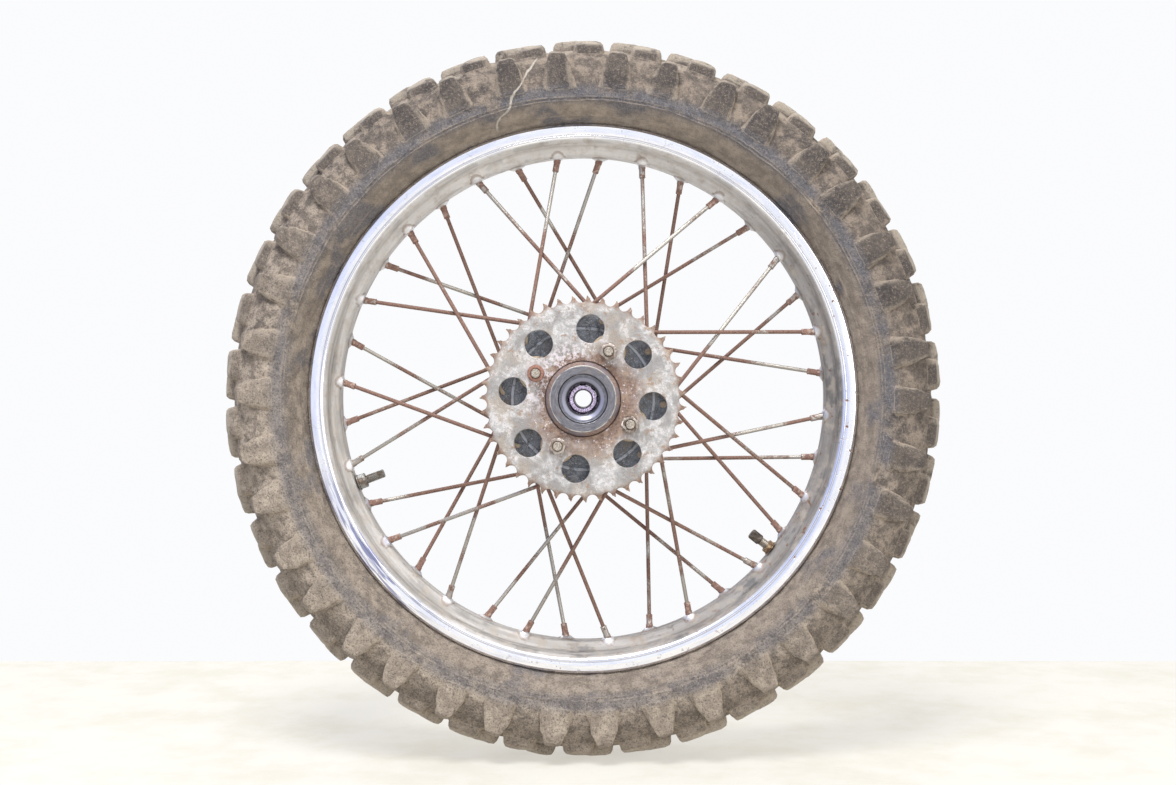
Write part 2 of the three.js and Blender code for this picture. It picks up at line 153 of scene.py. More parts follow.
class Piece:
    """Gathers closed shells into one mesh object."""

    def __init__(self, name):
        self.name = name
        self.points, self.faces, self.slots = [], [], []
        self.layers = {}

    def add(self, points, faces, slot=0):
        first = sum(len(p) for p in self.points)
        self.points.append(np.asarray(points, float).reshape(-1, 3))
        self.faces += [[first + i for i in f] for f in faces]
        self.slots += [slot] * len(faces)

    def grid(self, points, closed_rows=True, slot=0):
        """A grid of points, closed round each row. Its ends are joined, or capped with flat faces."""
        points = np.asarray(points, float)
        rows, cols = points.shape[:2]
        last = rows if closed_rows else rows - 1
        faces = []
        for i in range(last):
            low, high = i * cols, ((i + 1) % rows) * cols
            for j in range(cols):
                k = (j + 1) % cols
                faces.append((low + j, low + k, high + k, high + j))
        if not closed_rows:
            faces.append(tuple(range(cols))[::-1])
            faces.append(tuple(range(last * cols, last * cols + cols)))
        self.add(points, faces, slot)

    def ring(self, outline, segments, slot=0):
        """A closed outline of [y, radius] points turned about the axle."""
        angles = np.radians(np.arange(segments) * 360 / segments)
        grid = np.empty((len(outline), segments, 3))
        for i, p in enumerate(outline):
            grid[i, :, 0] = p[1] * np.sin(angles)
            grid[i, :, 1] = p[0]
            grid[i, :, 2] = p[1] * np.cos(angles)
        self.grid(grid * MM, True, slot)

    def turned(self, origin, axis, outline, sides, slot=0, closed=False, shape=None):
        """An outline of [distance, radius] points in millimetres turned about a line.
        shape(distance, radius, turns) may change the radius round the line."""
        axis = Vector(axis).normalized()
        across = axis.orthogonal().normalized() if abs(axis.dot(AXLE)) > 0.9 else axis.cross(AXLE).normalized()
        other = axis.cross(across)
        turns = np.arange(sides) / sides
        grid = np.empty((len(outline), sides, 3))
        for i, p in enumerate(outline):
            distance, radius = p[0], p[1]
            for j, turn in enumerate(turns):
                r = shape(distance, radius, turn) if shape else radius
                a = turn * 2 * math.pi
                grid[i, j] = origin + (axis * distance + (across * math.cos(a) + other * math.sin(a)) * r) * MM
        self.grid(grid, closed, slot)

    def tube(self, path, radii, sides, slot=0):
        """A capped tube through a path of points in metres, with a radius in millimetres at each."""
        path = [Vector(p) for p in path]
        rows = []
        across = None
        for i, p in enumerate(path):
            ahead = path[min(i + 1, len(path) - 1)] - path[max(i - 1, 0)]
            along = ahead.normalized()
            across = along.orthogonal().normalized() if across is None else (
                across - along * across.dot(along)).normalized()
            other = along.cross(across)
            rows.append([p + (across * math.cos(a) + other * math.sin(a)) * radii[i] * MM
                         for a in (2 * math.pi * k / sides for k in range(sides))])
        self.grid(rows, False, slot)

    def finish(self, body, nodes, slot, looks, sharp=34, bevel=0):
        mesh = bpy.data.meshes.new(self.name)
        points = np.concatenate(self.points) + (0, MID_PLANE, 0)
        mesh.from_pydata(points.tolist(), [], self.faces)
        mesh.polygons.foreach_set("material_index", self.slots)
        for name, values in self.layers.items():
            layer = mesh.attributes.new(name, "FLOAT", "POINT")
            layer.data.foreach_set("value", np.asarray(values, np.float32))
        work = bmesh.new()
        work.from_mesh(mesh)
        bmesh.ops.recalc_face_normals(work, faces=work.faces)
        work.to_mesh(mesh)
        work.free()
        for look in looks:
            mesh.materials.append(look)
        mesh.shade_smooth()
        mesh.set_sharp_from_angle(angle=math.radians(sharp))
        obj = bpy.data.objects.new(self.name, mesh)
        bpy.context.scene.collection.objects.link(obj)
        if bevel:
            edge = obj.modifiers.new("worn_edges", "BEVEL")
            edge.width = bevel * MM
            edge.segments = 2
            edge.limit_method = "ANGLE"
            edge.angle_limit = math.radians(sharp)
            edge.harden_normals = True
        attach(obj, body)
        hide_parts(*nodes)
        return obj


def hexagon(across_flats, turn):
    """A hexagon's radius at a place round it, in turns."""
    a = (turn * 2 * math.pi + math.pi / 6) % (math.pi / 3) - math.pi / 6
    return across_flats / 2 / math.cos(a)


def add_nut(piece, origin, axis, across_flats, height, bore, slot=0, washer=0):
    """A chamfered hexagon nut, with a washer face under it."""
    inner = across_flats / 2 * 0.97
    slope = 0.55
    rows, sides = [], 48
    axis = Vector(axis).normalized()
    across = axis.orthogonal().normalized() if abs(axis.dot(AXLE)) > 0.9 else axis.cross(AXLE).normalized()
    other = axis.cross(across)

    def row(radius_of, height_of):
        line = []
        for j in range(sides):
            turn = j / sides
            r, h = radius_of(turn), height_of(turn)
            a = turn * 2 * math.pi
            line.append(origin + (axis * h + (across * math.cos(a) + other * math.sin(a)) * r) * MM)
        return line

    def rise(turn):
        return (hexagon(across_flats, turn) - inner) * slope

    rows.append(row(lambda t: bore + 0.5, lambda t: washer))
    rows.append(row(lambda t: inner, lambda t: washer))
    rows.append(row(lambda t: hexagon(across_flats, t), lambda t: washer + rise(t)))
    rows.append(row(lambda t: hexagon(across_flats, t), lambda t: height - rise(t)))
    rows.append(row(lambda t: inner, lambda t: height))
    rows.append(row(lambda t: bore + 0.6, lambda t: height))
    rows.append(row(lambda t: bore, lambda t: height - 0.6))
    rows.append(row(lambda t: bore, lambda t: washer + 0.5))
    piece.grid(rows, True, slot)
    if washer:
        outer = across_flats / 2 * 1.14
        outline = rounded([(0, bore), (0, outer), (washer - 0.1, outer), (washer - 0.1, bore)], 0.2, steps=2)
        piece.turned(origin, axis, outline, 40, slot, closed=True)


def add_thread(piece, origin, axis, start, end, radius, pitch, slot=0, sides=20):
    """A threaded rod with a chamfered end: its crest winds round it."""
    depth = pitch * 0.5
    steps = max(8, int((end - start) / pitch * 7))
    outline = [(start, radius - depth)]
    outline += [(start + (end - start) * k / steps, radius) for k in range(1, steps)]
    outline += [(end, radius - depth)]

    def shape(distance, r, turn):
        if r < radius:
            return r
        wave = abs(((distance / pitch - turn) % 1) * 2 - 1)
        room = min(1, (end - distance) / 0.8, (distance - start) / 0.8)
        return radius - depth * max(1 - wave, 1 - room)

    piece.turned(origin, axis, outline, sides, slot, shape=shape)


# ---- Materials -------------------------------------------------------------------------------------

RIBS = [261.5, 259.0, 247.6]
ROOT = math.radians(347)


def colour(red, green, blue):
    """A colour given as display values of 0 to 255."""
    return tuple(((c / 255 + 0.055) / 1.055) ** 2.4 if c > 10 else c / 255 / 12.92 for c in (red, green, blue))


class Look:
    """One node material round a Principled shader. Feature sizes are in millimetres."""

    def __init__(self, name):
        self.material = bpy.data.materials.new(name)
        self.material.use_nodes = True
        self.tree = self.material.node_tree
        self.tree.nodes.clear()
        self.shader = self.tree.nodes.new("ShaderNodeBsdfPrincipled")
        self.output = self.tree.nodes.new("ShaderNodeOutputMaterial")
        self.tree.links.new(self.shader.outputs[0], self.output.inputs["Surface"])
        from_mid_plane = self.node("ShaderNodeVectorMath", operation="SUBTRACT")
        self.feed(from_mid_plane.inputs[0], self.node("ShaderNodeTexCoord").outputs["Object"])
        from_mid_plane.inputs[1].default_value = (0, MID_PLANE, 0)
        self.place = from_mid_plane.outputs[0]

    def node(self, kind, **settings):
        made = self.tree.nodes.new(kind)
        for key, value in settings.items():
            setattr(made, key, value)
        return made

    def feed(self, socket, value):
        if isinstance(value, bpy.types.NodeSocket):
            self.tree.links.new(value, socket)
        elif isinstance(value, (tuple, list)) and len(value) == 3 and socket.type == "RGBA":
            socket.default_value = (*value, 1)
        else:
            socket.default_value = value

    def math(self, operation, a, b=0.0, clamp=False):
        made = self.node("ShaderNodeMath", operation=operation, use_clamp=clamp)
        self.feed(made.inputs[0], a)
        self.feed(made.inputs[1], b)
        return made.outputs[0]

    def noise(self, size, detail=4, rough=0.6, place=None, distort=0):
        made = self.node("ShaderNodeTexNoise")
        self.feed(made.inputs["Vector"], place or self.place)
        made.inputs["Scale"].default_value = 1 / (size * MM)
        made.inputs["Detail"].default_value = detail
        made.inputs["Roughness"].default_value = rough
        made.inputs["Distortion"].default_value = distort
        return made.outputs["Fac"]

    def cells(self, size, feature="F1", place=None):
        made = self.node("ShaderNodeTexVoronoi", feature=feature)
        self.feed(made.inputs["Vector"], place or self.place)
        made.inputs["Scale"].default_value = 1 / (size * MM)
        return made.outputs["Distance"]

    def span(self, value, low, high):
        """0 below low, 1 above high, smooth between. Low may be above high, which turns it over."""
        made = self.node("ShaderNodeMapRange", interpolation_type="SMOOTHSTEP")
        self.feed(made.inputs["Value"], value)
        flipped = low > high
        made.inputs["From Min"].default_value = min(low, high)
        made.inputs["From Max"].default_value = max(low, high)
        made.inputs["To Min"].default_value = 1 if flipped else 0
        made.inputs["To Max"].default_value = 0 if flipped else 1
        return made.outputs["Result"]

    def mix(self, share, a, b):
        made = self.node("ShaderNodeMix", data_type="RGBA")
        self.feed(made.inputs["Factor"], share)
        self.feed(made.inputs[6], a)
        self.feed(made.inputs[7], b)
        return made.outputs[2]

    def blend(self, share, a, b):
        """Between two numbers."""
        made = self.node("ShaderNodeMix", data_type="FLOAT")
        self.feed(made.inputs["Factor"], share)
        self.feed(made.inputs[2], a)
        self.feed(made.inputs[3], b)
        return made.outputs[0]

    def times(self, *values):
        result = values[0]
        for value in values[1:]:
            result = self.math("MULTIPLY", result, value)
        return result

    def layer(self, name):
        return self.node("ShaderNodeAttribute", attribute_name=name).outputs["Fac"]

    def parts(self):
        """The x, y and z of a place, in metres."""
        made = self.node("ShaderNodeSeparateXYZ")
        self.feed(made.inputs[0], self.place)
        return made.outputs

    def radius(self):
        x, _, z = self.parts()
        return self.math("SQRT", self.math("ADD", self.times(x, x), self.times(z, z)))

    def around(self, along, across):
        """Coordinates for streaks that run round the axle: long features along, short ones across."""
        x, y, z = self.parts()
        radius = self.radius()
        made = self.node("ShaderNodeCombineXYZ")
        turn = 230 / along * MM
        self.feed(made.inputs[0], self.times(self.math("DIVIDE", x, radius), turn))
        self.feed(made.inputs[1], self.times(self.math("DIVIDE", z, radius), turn))
        self.feed(made.inputs[2], self.times(self.math("ADD", radius, self.times(y, 0.7)), 1 / across))
        return made.outputs[0]

    def near(self, angle, spread):
        """1 at an angle round the axle, fading to 0 a spread of degrees away."""
        x, _, z = self.parts()
        radius = self.radius()
        a = math.radians(angle)
        dot = self.math("ADD", self.times(x, math.sin(a)), self.times(z, math.cos(a)))
        return self.span(self.math("DIVIDE", dot, radius), math.cos(math.radians(spread)), 1)

    def finish(self, base, rough, metal=0.0, bump=None, depth=0.2, coat=0.0, specular=0.5):
        self.feed(self.shader.inputs["Base Color"], base)
        self.feed(self.shader.inputs["Roughness"], rough)
        self.feed(self.shader.inputs["Metallic"], metal)
        self.shader.inputs["Specular IOR Level"].default_value = specular
        if coat:
            self.feed(self.shader.inputs["Coat Weight"], coat)
            self.shader.inputs["Coat Roughness"].default_value = 0.12
        if bump is not None:
            made = self.node("ShaderNodeBump")
            made.inputs["Distance"].default_value = depth * MM
            made.inputs["Strength"].default_value = 1
            self.feed(made.inputs["Height"], bump)
            self.tree.links.new(made.outputs[0], self.shader.inputs["Normal"])
        return self.material


def tyre_look():
    """Grey-brown rubber under dried mud: thin lines of dust beside the lugs, bluish bare patches, painted pale
    highlights on the crests and on faces turned upwards, and painted shade on faces turned downwards.
    """
    look = Look("tyre_muddy_rubber")
    face, flank = look.layer("face"), look.layer("flank")
    x, y, z = look.parts()
    radius = look.radius()
    clouds, patches = look.noise(30, 4, 0.6), look.noise(10, 5, 0.65)
    crumbs, salt = look.noise(2.6, 5, 0.75), look.noise(1.3, 3, 0.65)
    low = look.span(look.math("ADD", look.times(x, -0.5), look.times(z, -0.86)), -0.22, 0.24)
    rubber = look.mix(look.span(clouds, 0.35, 0.65), colour(70, 66, 66), look.mix(low, colour(94, 87, 82), colour(132, 122, 112)))
    rubber = look.mix(look.times(look.span(crumbs, 0.45, 0.7), 0.8), rubber, colour(136, 123, 112))
    pale = look.mix(low, colour(156, 142, 128), colour(204, 189, 172))
    mud = look.mix(look.span(patches, 0.35, 0.68), look.mix(low, colour(134, 122, 111), colour(172, 158, 143)), pale)
    mud = look.mix(look.times(look.span(crumbs, 0.5, 0.36), 0.6), mud, colour(112, 102, 94))
    on_face = look.math("ADD", look.times(low, 0.8), look.times(look.span(patches, 0.46, 0.68), 0.2), clamp=True)
    in_valley = look.math("ADD", look.math("ADD", look.times(low, 0.3), 0.15), look.span(patches, 0.36, 0.66), clamp=True)
    base = look.mix(look.blend(look.span(face, 0.3, 0.9), in_valley, on_face), rubber, mud)
    wall = look.span(radius, 0.2625, 0.2565)
    olive = look.mix(look.span(patches, 0.35, 0.65), look.mix(low, colour(148, 136, 124), colour(126, 115, 105)),
                     look.mix(low, colour(176, 162, 147), colour(152, 139, 126)))
    base = look.mix(look.times(wall, look.blend(low, 0.9, 0.62)), base, olive)
    bare = look.times(look.span(radius, 0.2535, 0.2605), look.span(radius, 0.276, 0.266))
    bare = look.math("MAXIMUM", bare, look.times(wall, look.span(look.noise(46, 3, 0.5), 0.52, 0.62)))
    bare = look.times(bare, look.span(clouds, 0.3, 0.52), look.blend(low, 0.8, 0.62))
    base = look.mix(bare, base, look.mix(look.span(crumbs, 0.35, 0.65), colour(92, 92, 99), colour(122, 121, 126)))
    for at in RIBS:
        rib = look.times(look.span(radius, (at - 0.8) * MM, (at - 0.2) * MM), look.span(radius, (at + 0.8) * MM, (at + 0.2) * MM))
        base = look.mix(look.times(rib, look.span(patches, 0.35, 0.6), 0.45), base, colour(176, 160, 142))
    dark_end = look.times(look.span(radius, 0.298, 0.301), look.span(radius, 0.3105, 0.3085), look.span(face, 0.4, 0.8))
    base = look.mix(look.times(dark_end, look.span(clouds, 0.3, 0.5), look.blend(low, 0.75, 0.3)), base,
                    look.mix(look.span(crumbs, 0.4, 0.65), colour(88, 81, 77), colour(124, 113, 103)))
    # Painted highlight: the crests of the blocks are painted pale cream, as if lit from above.
    crown = look.times(look.span(radius, 0.3095, 0.3125), look.span(patches, 0.28, 0.52), 0.75)
    base = look.mix(crown, base, colour(194, 182, 166))
    strand = look.math("SUBTRACT", look.times(x, math.cos(ROOT)), look.times(z, math.sin(ROOT)))
    drift = look.times(look.math("SUBTRACT", look.noise(34, 3, 0.5), 0.5), 0.03)
    drift = look.math("ADD", drift, look.times(look.math("SUBTRACT", radius, 0.268), 0.87))
    off = look.math("ABSOLUTE", look.math("SUBTRACT", strand, drift))
    root = look.times(look.span(off, 0.0016, 0.0007), look.near(347, 12), look.span(radius, 0.2445, 0.248),
                      look.span(radius, 0.301, 0.298), look.math("LESS_THAN", y, 0))
    base = look.mix(look.times(root, 0.85), base, colour(206, 197, 184))
    facing = look.node("ShaderNodeVectorMath", operation="DOT_PRODUCT")
    look.feed(facing.inputs[0], look.node("ShaderNodeTexCoord").outputs["Normal"])
    facing.inputs[1].default_value = (0, 0.25, 0.97)
    side_on = look.span(face, 0.97, 0.6)
    shade = look.times(look.span(facing.outputs["Value"], -0.15, -0.75), look.span(radius, 0.27, 0.278), look.blend(side_on, 0.15, 0.62))
    base = look.mix(shade, base, look.mix(look.span(crumbs, 0.4, 0.65), colour(92, 84, 77), colour(134, 122, 110)))
    # Painted highlight: faces of the lugs that turn upwards are painted pale, as if lit from above.
    upward_face_highlight = look.times(look.span(facing.outputs["Value"], 0.3, 0.8), look.span(patches, 0.3, 0.55), look.span(radius, 0.27, 0.278), 0.65)
    base = look.mix(upward_face_highlight, base, colour(190, 177, 160))
    edge = look.times(look.span(face, 0.5, 0.72), look.span(face, 0.95, 0.88), look.span(patches, 0.34, 0.55), 0.5)
    base = look.mix(edge, base, colour(182, 168, 151))
    line = look.times(look.span(flank, 0.75, 1.0), look.span(look.noise(13, 3), 0.3, 0.55), look.blend(low, 0.5, 0.8))
    base = look.mix(line, base, colour(184, 168, 150))
    base = look.mix(look.times(look.span(salt, 0.47, 0.36), look.blend(low, 0.3, 0.5)), base, colour(88, 80, 74))
    base = look.mix(look.times(look.span(salt, 0.58, 0.7), look.blend(low, 0.3, 0.55)), base, colour(200, 187, 172))
    bump = look.math("ADD", look.times(crumbs, 1.0), look.times(salt, 0.45))
    return look.finish(base, look.blend(crumbs, 0.72, 0.95), bump=bump, depth=1.6, specular=0.28)


def plain_rubber(name, dark, light):
    look = Look(name)
    dust = look.noise(12, 5, 0.65)
    base = look.mix(look.span(dust, 0.35, 0.75), dark, light)
    return look.finish(base, look.blend(dust, 0.6, 0.9), bump=look.noise(1.2), depth=0.1)


def chrome_look():
    """Bright plating on the flanges, matt and stained in the well, with rust pits, painted light at the top of the
    well, painted shade towards its right and bottom, and a painted bluish reflection streaked over the lower left of
    the flange.
    """
    look = Look("rim_chrome_plate")
    radius = look.radius()
    _, y, _ = look.parts()
    dimple = look.layer("dimple")
    well = look.times(look.span(radius, 0.2296, 0.2276), look.blend(dimple, 1.0, 0.45))
    streaks = look.noise(1, 4, 0.6, place=look.around(70, 2.2))
    grime = look.noise(1, 5, 0.65, place=look.around(26, 5))
    stain, blots = look.noise(16, 5, 0.7), look.noise(9, 4)
    plate = look.mix(look.span(grime, 0.35, 0.75), colour(248, 248, 252), colour(226, 229, 242))
    well_colour_and_painted_light = look.mix(look.span(streaks, 0.35, 0.65), colour(204, 200, 196), colour(166, 162, 157))
    # Painted highlight: the top of the well is painted lighter.
    well_colour_and_painted_light = look.mix(look.times(look.near(345, 80), 0.6), well_colour_and_painted_light, colour(236, 233, 230))
    # Painted shade: the well is painted darker towards the right and the bottom.
    well_colour_and_painted_light = look.mix(look.times(look.near(122, 88), 0.7), well_colour_and_painted_light, colour(122, 118, 115))
    well_colour_and_painted_light = look.mix(look.times(look.span(stain, 0.52, 0.74), 0.6), well_colour_and_painted_light, colour(140, 120, 100))
    base = look.mix(well, plate, well_colour_and_painted_light)
    for at, strong in ((0.2322, 0.3), (0.2306, 0.45)):
        seam = look.times(look.span(radius, at + 0.0004, at + 0.0001), look.span(radius, at - 0.0005, at - 0.0002), strong)
        base = look.mix(seam, base, colour(104, 104, 118))
    # Painted reflection: bluish streaks painted over the lower left of the flange.
    painted_reflection_streak = look.times(look.near(234, 24), look.span(look.noise(1, 3, 0.5, place=look.around(30, 2.5)), 0.46, 0.6),
                        look.math("SUBTRACT", 1.0, well), 0.75)
    base = look.mix(painted_reflection_streak, base, colour(104, 108, 158))
    rusty = look.math("ADD", look.near(92, 48), look.times(look.near(150, 80), 0.35), clamp=True)
    pits = look.times(look.span(look.noise(5.5, 3, 0.5), 0.63, 0.7), look.math("ADD", rusty, 0.1, clamp=True))
    fine = look.times(look.span(look.cells(4.2), 0.2, 0.12), look.span(look.noise(22, 2), 0.52, 0.62))
    rust = look.math("MAXIMUM", pits, look.times(fine, look.math("ADD", rusty, 0.3, clamp=True)))
    lip = look.times(look.span(radius, 0.2405, 0.2415), look.span(blots, 0.42, 0.6), 0.7)
    rust = look.math("MAXIMUM", rust, lip)
    base = look.mix(rust, base, colour(118, 84, 66))
    stains = look.times(well, look.span(look.noise(1, 4, 0.6, place=look.around(36, 4.5)), 0.53, 0.62),
                        look.blend(look.near(135, 85), 0.25, 0.75))
    base = look.mix(stains, base, colour(98, 97, 97))
    halo = look.times(look.span(dimple, 0.02, 0.12), look.span(dimple, 0.55, 0.25), look.span(blots, 0.3, 0.5), 0.6)
    base = look.mix(halo, base, colour(128, 106, 90))
    dust = look.times(well, look.span(blots, 0.45, 0.7), 0.5)
    base = look.mix(dust, base, colour(180, 168, 154))
    rough = look.blend(well, look.blend(look.span(grime, 0.4, 0.8), 0.1, 0.2), 0.62)
    rough = look.blend(rust, rough, 0.8)
    rough = look.blend(dust, rough, 0.75)
    metal = look.math("SUBTRACT", look.blend(well, 1.0, 0.5), look.math("MAXIMUM", rust, look.times(dust, 0.8)), clamp=True)
    bump = look.math("ADD", look.times(look.noise(40, 2), 0.9), look.times(rust, -0.6))
    return look.finish(base, rough, metal, bump=bump, depth=0.25)


def rusty_metal(name, bright, rust, share, size=30, metal=0.75, rough=(0.45, 0.8), light=None, heads=None):
    """Plated steel that shows through rust. Share is how much of it has rusted, from 0 to 1.
    Heads colours what is close to the hub."""
    look = Look(name)
    stretches = look.noise(size, 3, 0.5)
    grain = look.noise(1.6, 5, 0.7)
    worn = look.math("ADD", look.times(stretches, 0.8), look.times(grain, 0.2))
    if heads:
        worn = look.math("ADD", worn, look.times(look.span(look.radius(), 0.185, 0.09), 0.16))
    limit = 0.66 - 0.32 * share
    rusted = look.span(worn, limit - 0.05, limit + 0.05)
    zinc = look.mix(grain, bright, tuple(c * 0.62 for c in bright))
    brown = look.mix(look.span(grain, 0.35, 0.65), rust, tuple(c * 0.6 for c in rust))
    base = look.mix(rusted, zinc, brown)
    if light:
        base = look.mix(look.times(look.span(look.noise(4, 3), 0.52, 0.66), 0.6), base, light)
    if heads:
        base = look.mix(look.times(look.span(look.radius(), 0.0735, 0.072), look.span(grain, 0.3, 0.5), 0.85), base, heads)
    return look.finish(base, look.blend(rusted, *rough), look.blend(rusted, metal, 0.12),
                       bump=look.math("ADD", grain, look.times(rusted, 0.6)), depth=0.18)


def sprocket_look():
    """Plate steel under grey and white oxide, with tan stains, and rust round the hub and on the teeth."""
    look = Look("sprocket_oxide")
    radius = look.radius()
    clouds = look.noise(17, 5, 0.62, distort=0.5)
    grain = look.noise(1.7, 6, 0.78)
    blots, tans = look.noise(7, 5, 0.66), look.noise(26, 4, 0.6)
    base = look.mix(look.span(clouds, 0.36, 0.62), colour(155, 152, 150), colour(190, 188, 186))
    base = look.mix(look.times(look.span(tans, 0.48, 0.64), 0.5), base, colour(184, 168, 150))
    flakes = look.noise(4.4, 6, 0.8)
    white = look.times(look.span(clouds, 0.46, 0.56), look.span(flakes, 0.48, 0.54), 0.6)
    base = look.mix(white, base, colour(228, 225, 225))
    base = look.mix(look.times(look.span(grain, 0.46, 0.34), 0.5), base, colour(134, 125, 120))
    base = look.mix(look.times(look.span(blots, 0.57, 0.62), look.span(flakes, 0.56, 0.5), 0.7), base, colour(160, 130, 104))
    wander = look.math("ADD", radius, look.times(look.math("SUBTRACT", look.noise(11, 6, 0.75), 0.5), 0.03))
    lower = look.math("MAXIMUM", look.near(115, 95), look.times(look.near(205, 70), 0.6))
    ring = look.span(wander, 0.0415, 0.0365)
    wide = look.times(look.span(wander, 0.058, 0.042), look.math("ADD", lower, 0.15, clamp=True))
    rust_hub = look.math("MAXIMUM", look.times(ring, 0.9), look.times(wide, 0.85))
    rust = look.mix(look.span(grain, 0.4, 0.62), colour(148, 119, 101), colour(106, 79, 67))
    rust = look.mix(look.times(look.span(blots, 0.5, 0.62), 0.6), rust, colour(182, 158, 138))
    base = look.mix(look.times(look.span(wander, 0.078, 0.0875), 0.6), base, look.mix(0.5, rust, colour(176, 152, 130)))
    base = look.mix(look.times(look.span(radius, 0.0808, 0.0852), look.span(blots, 0.25, 0.5), 0.85), base, rust)
    base = look.mix(rust_hub, base, rust)
    crusted = look.times(look.near(310, 75), look.span(radius, 0.056, 0.044), look.span(flakes, 0.5, 0.54), 0.8)
    flecks = look.times(look.span(look.noise(2.8, 4, 0.7), 0.6, 0.67), look.span(radius, 0.062, 0.045))
    flecks = look.math("MAXIMUM", flecks, crusted)
    base = look.mix(flecks, base, colour(228, 220, 224))
    bump = look.math("ADD", grain, look.times(blots, 0.9))
    return look.finish(base, look.blend(grain, 0.48, 0.8), 0.2, bump=bump, depth=0.8)


def hub_look():
    """Dark blue-grey paint, scuffed and under dust, with rust on the spigot, bare metal on the machined end and a
    painted highlight round the chamfer edge of that end.
    """
    look = Look("hub_dark_paint")
    radius = look.radius()
    _, y, _ = look.parts()
    dust, smudge = look.noise(7, 6, 0.7), look.noise(22, 3, 0.6)
    grain = look.noise(1.2, 5, 0.75)
    scratches = look.noise(1, 4, 0.7, place=look.around(9, 0.7))
    paint = look.mix(look.span(dust, 0.35, 0.7), colour(80, 85, 93), colour(134, 140, 150))
    paint = look.mix(look.times(look.span(scratches, 0.56, 0.62), 0.75), paint, colour(190, 192, 200))
    paint = look.mix(look.times(look.span(grain, 0.53, 0.64), 0.7), paint, colour(166, 160, 154))
    paint = look.mix(look.times(look.span(smudge, 0.5, 0.66), 0.55), paint, colour(122, 110, 98))
    ridge = look.times(look.span(y, -0.0468, -0.0474), look.span(radius, 0.059, 0.060), look.span(radius, 0.0642, 0.0632))
    paint = look.mix(look.times(ridge, look.span(dust, 0.35, 0.5), 0.75), paint, colour(184, 188, 198))
    seat = look.times(look.span(y, -0.0484, -0.0505), look.span(radius, 0.0628, 0.0612), look.span(dust, 0.3, 0.45))
    paint = look.mix(look.times(seat, 0.9), paint, look.mix(look.span(grain, 0.4, 0.6), colour(216, 196, 166), colour(172, 150, 124)))
    spigot = look.times(look.span(y, -0.0524, -0.0532), look.span(radius, 0.0345, 0.0335))
    worn = look.mix(look.span(grain, 0.4, 0.6), colour(150, 126, 116), colour(104, 84, 76))
    worn = look.mix(look.span(smudge, 0.46, 0.6), worn, colour(128, 118, 122))
    paint = look.mix(spigot, paint, worn)
    machined = look.times(look.span(y, -0.0652, -0.0657), look.span(radius, 0.0292, 0.0288))
    lines = look.noise(1, 3, 0.5, place=look.around(40, 0.5))
    bare = look.mix(look.span(lines, 0.35, 0.65), colour(100, 100, 107), colour(134, 132, 137))
    bare = look.mix(look.times(look.span(dust, 0.5, 0.66), 0.5), bare, colour(126, 114, 106))
    # Painted highlight: a pale ring painted round the chamfer edge of the machined end.
    edge = look.times(look.span(radius, 0.0276, 0.0281), look.span(dust, 0.35, 0.5))
    bare = look.mix(look.times(edge, 0.8), bare, colour(206, 200, 190))
    base = look.mix(machined, paint, bare)
    studs = look.times(look.math("LESS_THAN", y, -0.0605), look.span(radius, 0.036, 0.037))
    base = look.mix(studs, base, look.mix(look.span(grain, 0.4, 0.6), colour(196, 188, 176), colour(132, 120, 106)))
    metal = look.math("MAXIMUM", look.times(machined, 0.7), look.times(studs, 0.5))
    metal = look.math("MAXIMUM", metal, look.times(spigot, look.span(smudge, 0.46, 0.6), 0.8))
    return look.finish(base, look.blend(machined, look.blend(dust, 0.36, 0.75), 0.42), metal,
                       bump=look.math("ADD", grain, dust), depth=0.3)


def greasy_look(name, dark, light, inner, outer):
    """Bearing metal under violet grease, with a painted highlight band between two radii."""
    look = Look(name)
    smear = look.noise(1, 4, 0.65, place=look.around(7, 2.2))
    radius = look.radius()
    # Painted highlight: the light colour is a pale glint painted in a band round the grease.
    painted_glint_band = look.times(look.span(radius, inner - 0.0005, inner), look.span(radius, outer + 0.0005, outer))
    base = look.mix(look.times(painted_glint_band, look.span(smear, 0.36, 0.58)), dark, light)
    return look.finish(base, look.blend(smear, 0.1, 0.4), 0.6, bump=smear, depth=0.5, coat=0.8)


def turned_metal(name, dark, light, rough=0.32, metal=0.9, across=0.6):
    """Machined metal with fine lines that run round the axle."""
    look = Look(name)
    lines = look.noise(1, 3, 0.55, place=look.around(80, across))
    dirt = look.noise(5, 5, 0.7)
    base = look.mix(look.span(lines, 0.35, 0.65), dark, light)
    base = look.mix(look.times(look.span(dirt, 0.52, 0.7), 0.6), base, tuple(c * 0.45 for c in dark))
    return look.finish(base, look.blend(dirt, rough * 0.8, rough * 1.6), metal, bump=lines, depth=0.08)


def seal_look():
    """Satin grey rubber-coated steel: black in its groove and at its lip, with a painted highlight on the cone between.
    """
    look = Look("seal_satin_grey")
    radius = look.radius()
    dirt = look.noise(4, 5, 0.7)
    base = look.mix(look.span(dirt, 0.35, 0.7), colour(86, 87, 95), colour(114, 115, 125))
    # Painted highlight: the cone is painted brighter than the rest of the seal.
    cone = look.times(look.span(radius, 0.0148, 0.0156), look.span(radius, 0.0184, 0.0176))
    base = look.mix(cone, base, colour(140, 140, 157))
    dark = look.math("MAXIMUM", look.span(radius, 0.0203, 0.0206), look.span(radius, 0.0149, 0.0143))
    base = look.mix(look.times(dark, 0.92), base, colour(34, 32, 40))
    return look.finish(base, look.blend(dirt, 0.28, 0.5), 0.35, bump=dirt, depth=0.1, specular=0.6)


# ---- Tyre ------------------------------------------------------------------------------------------

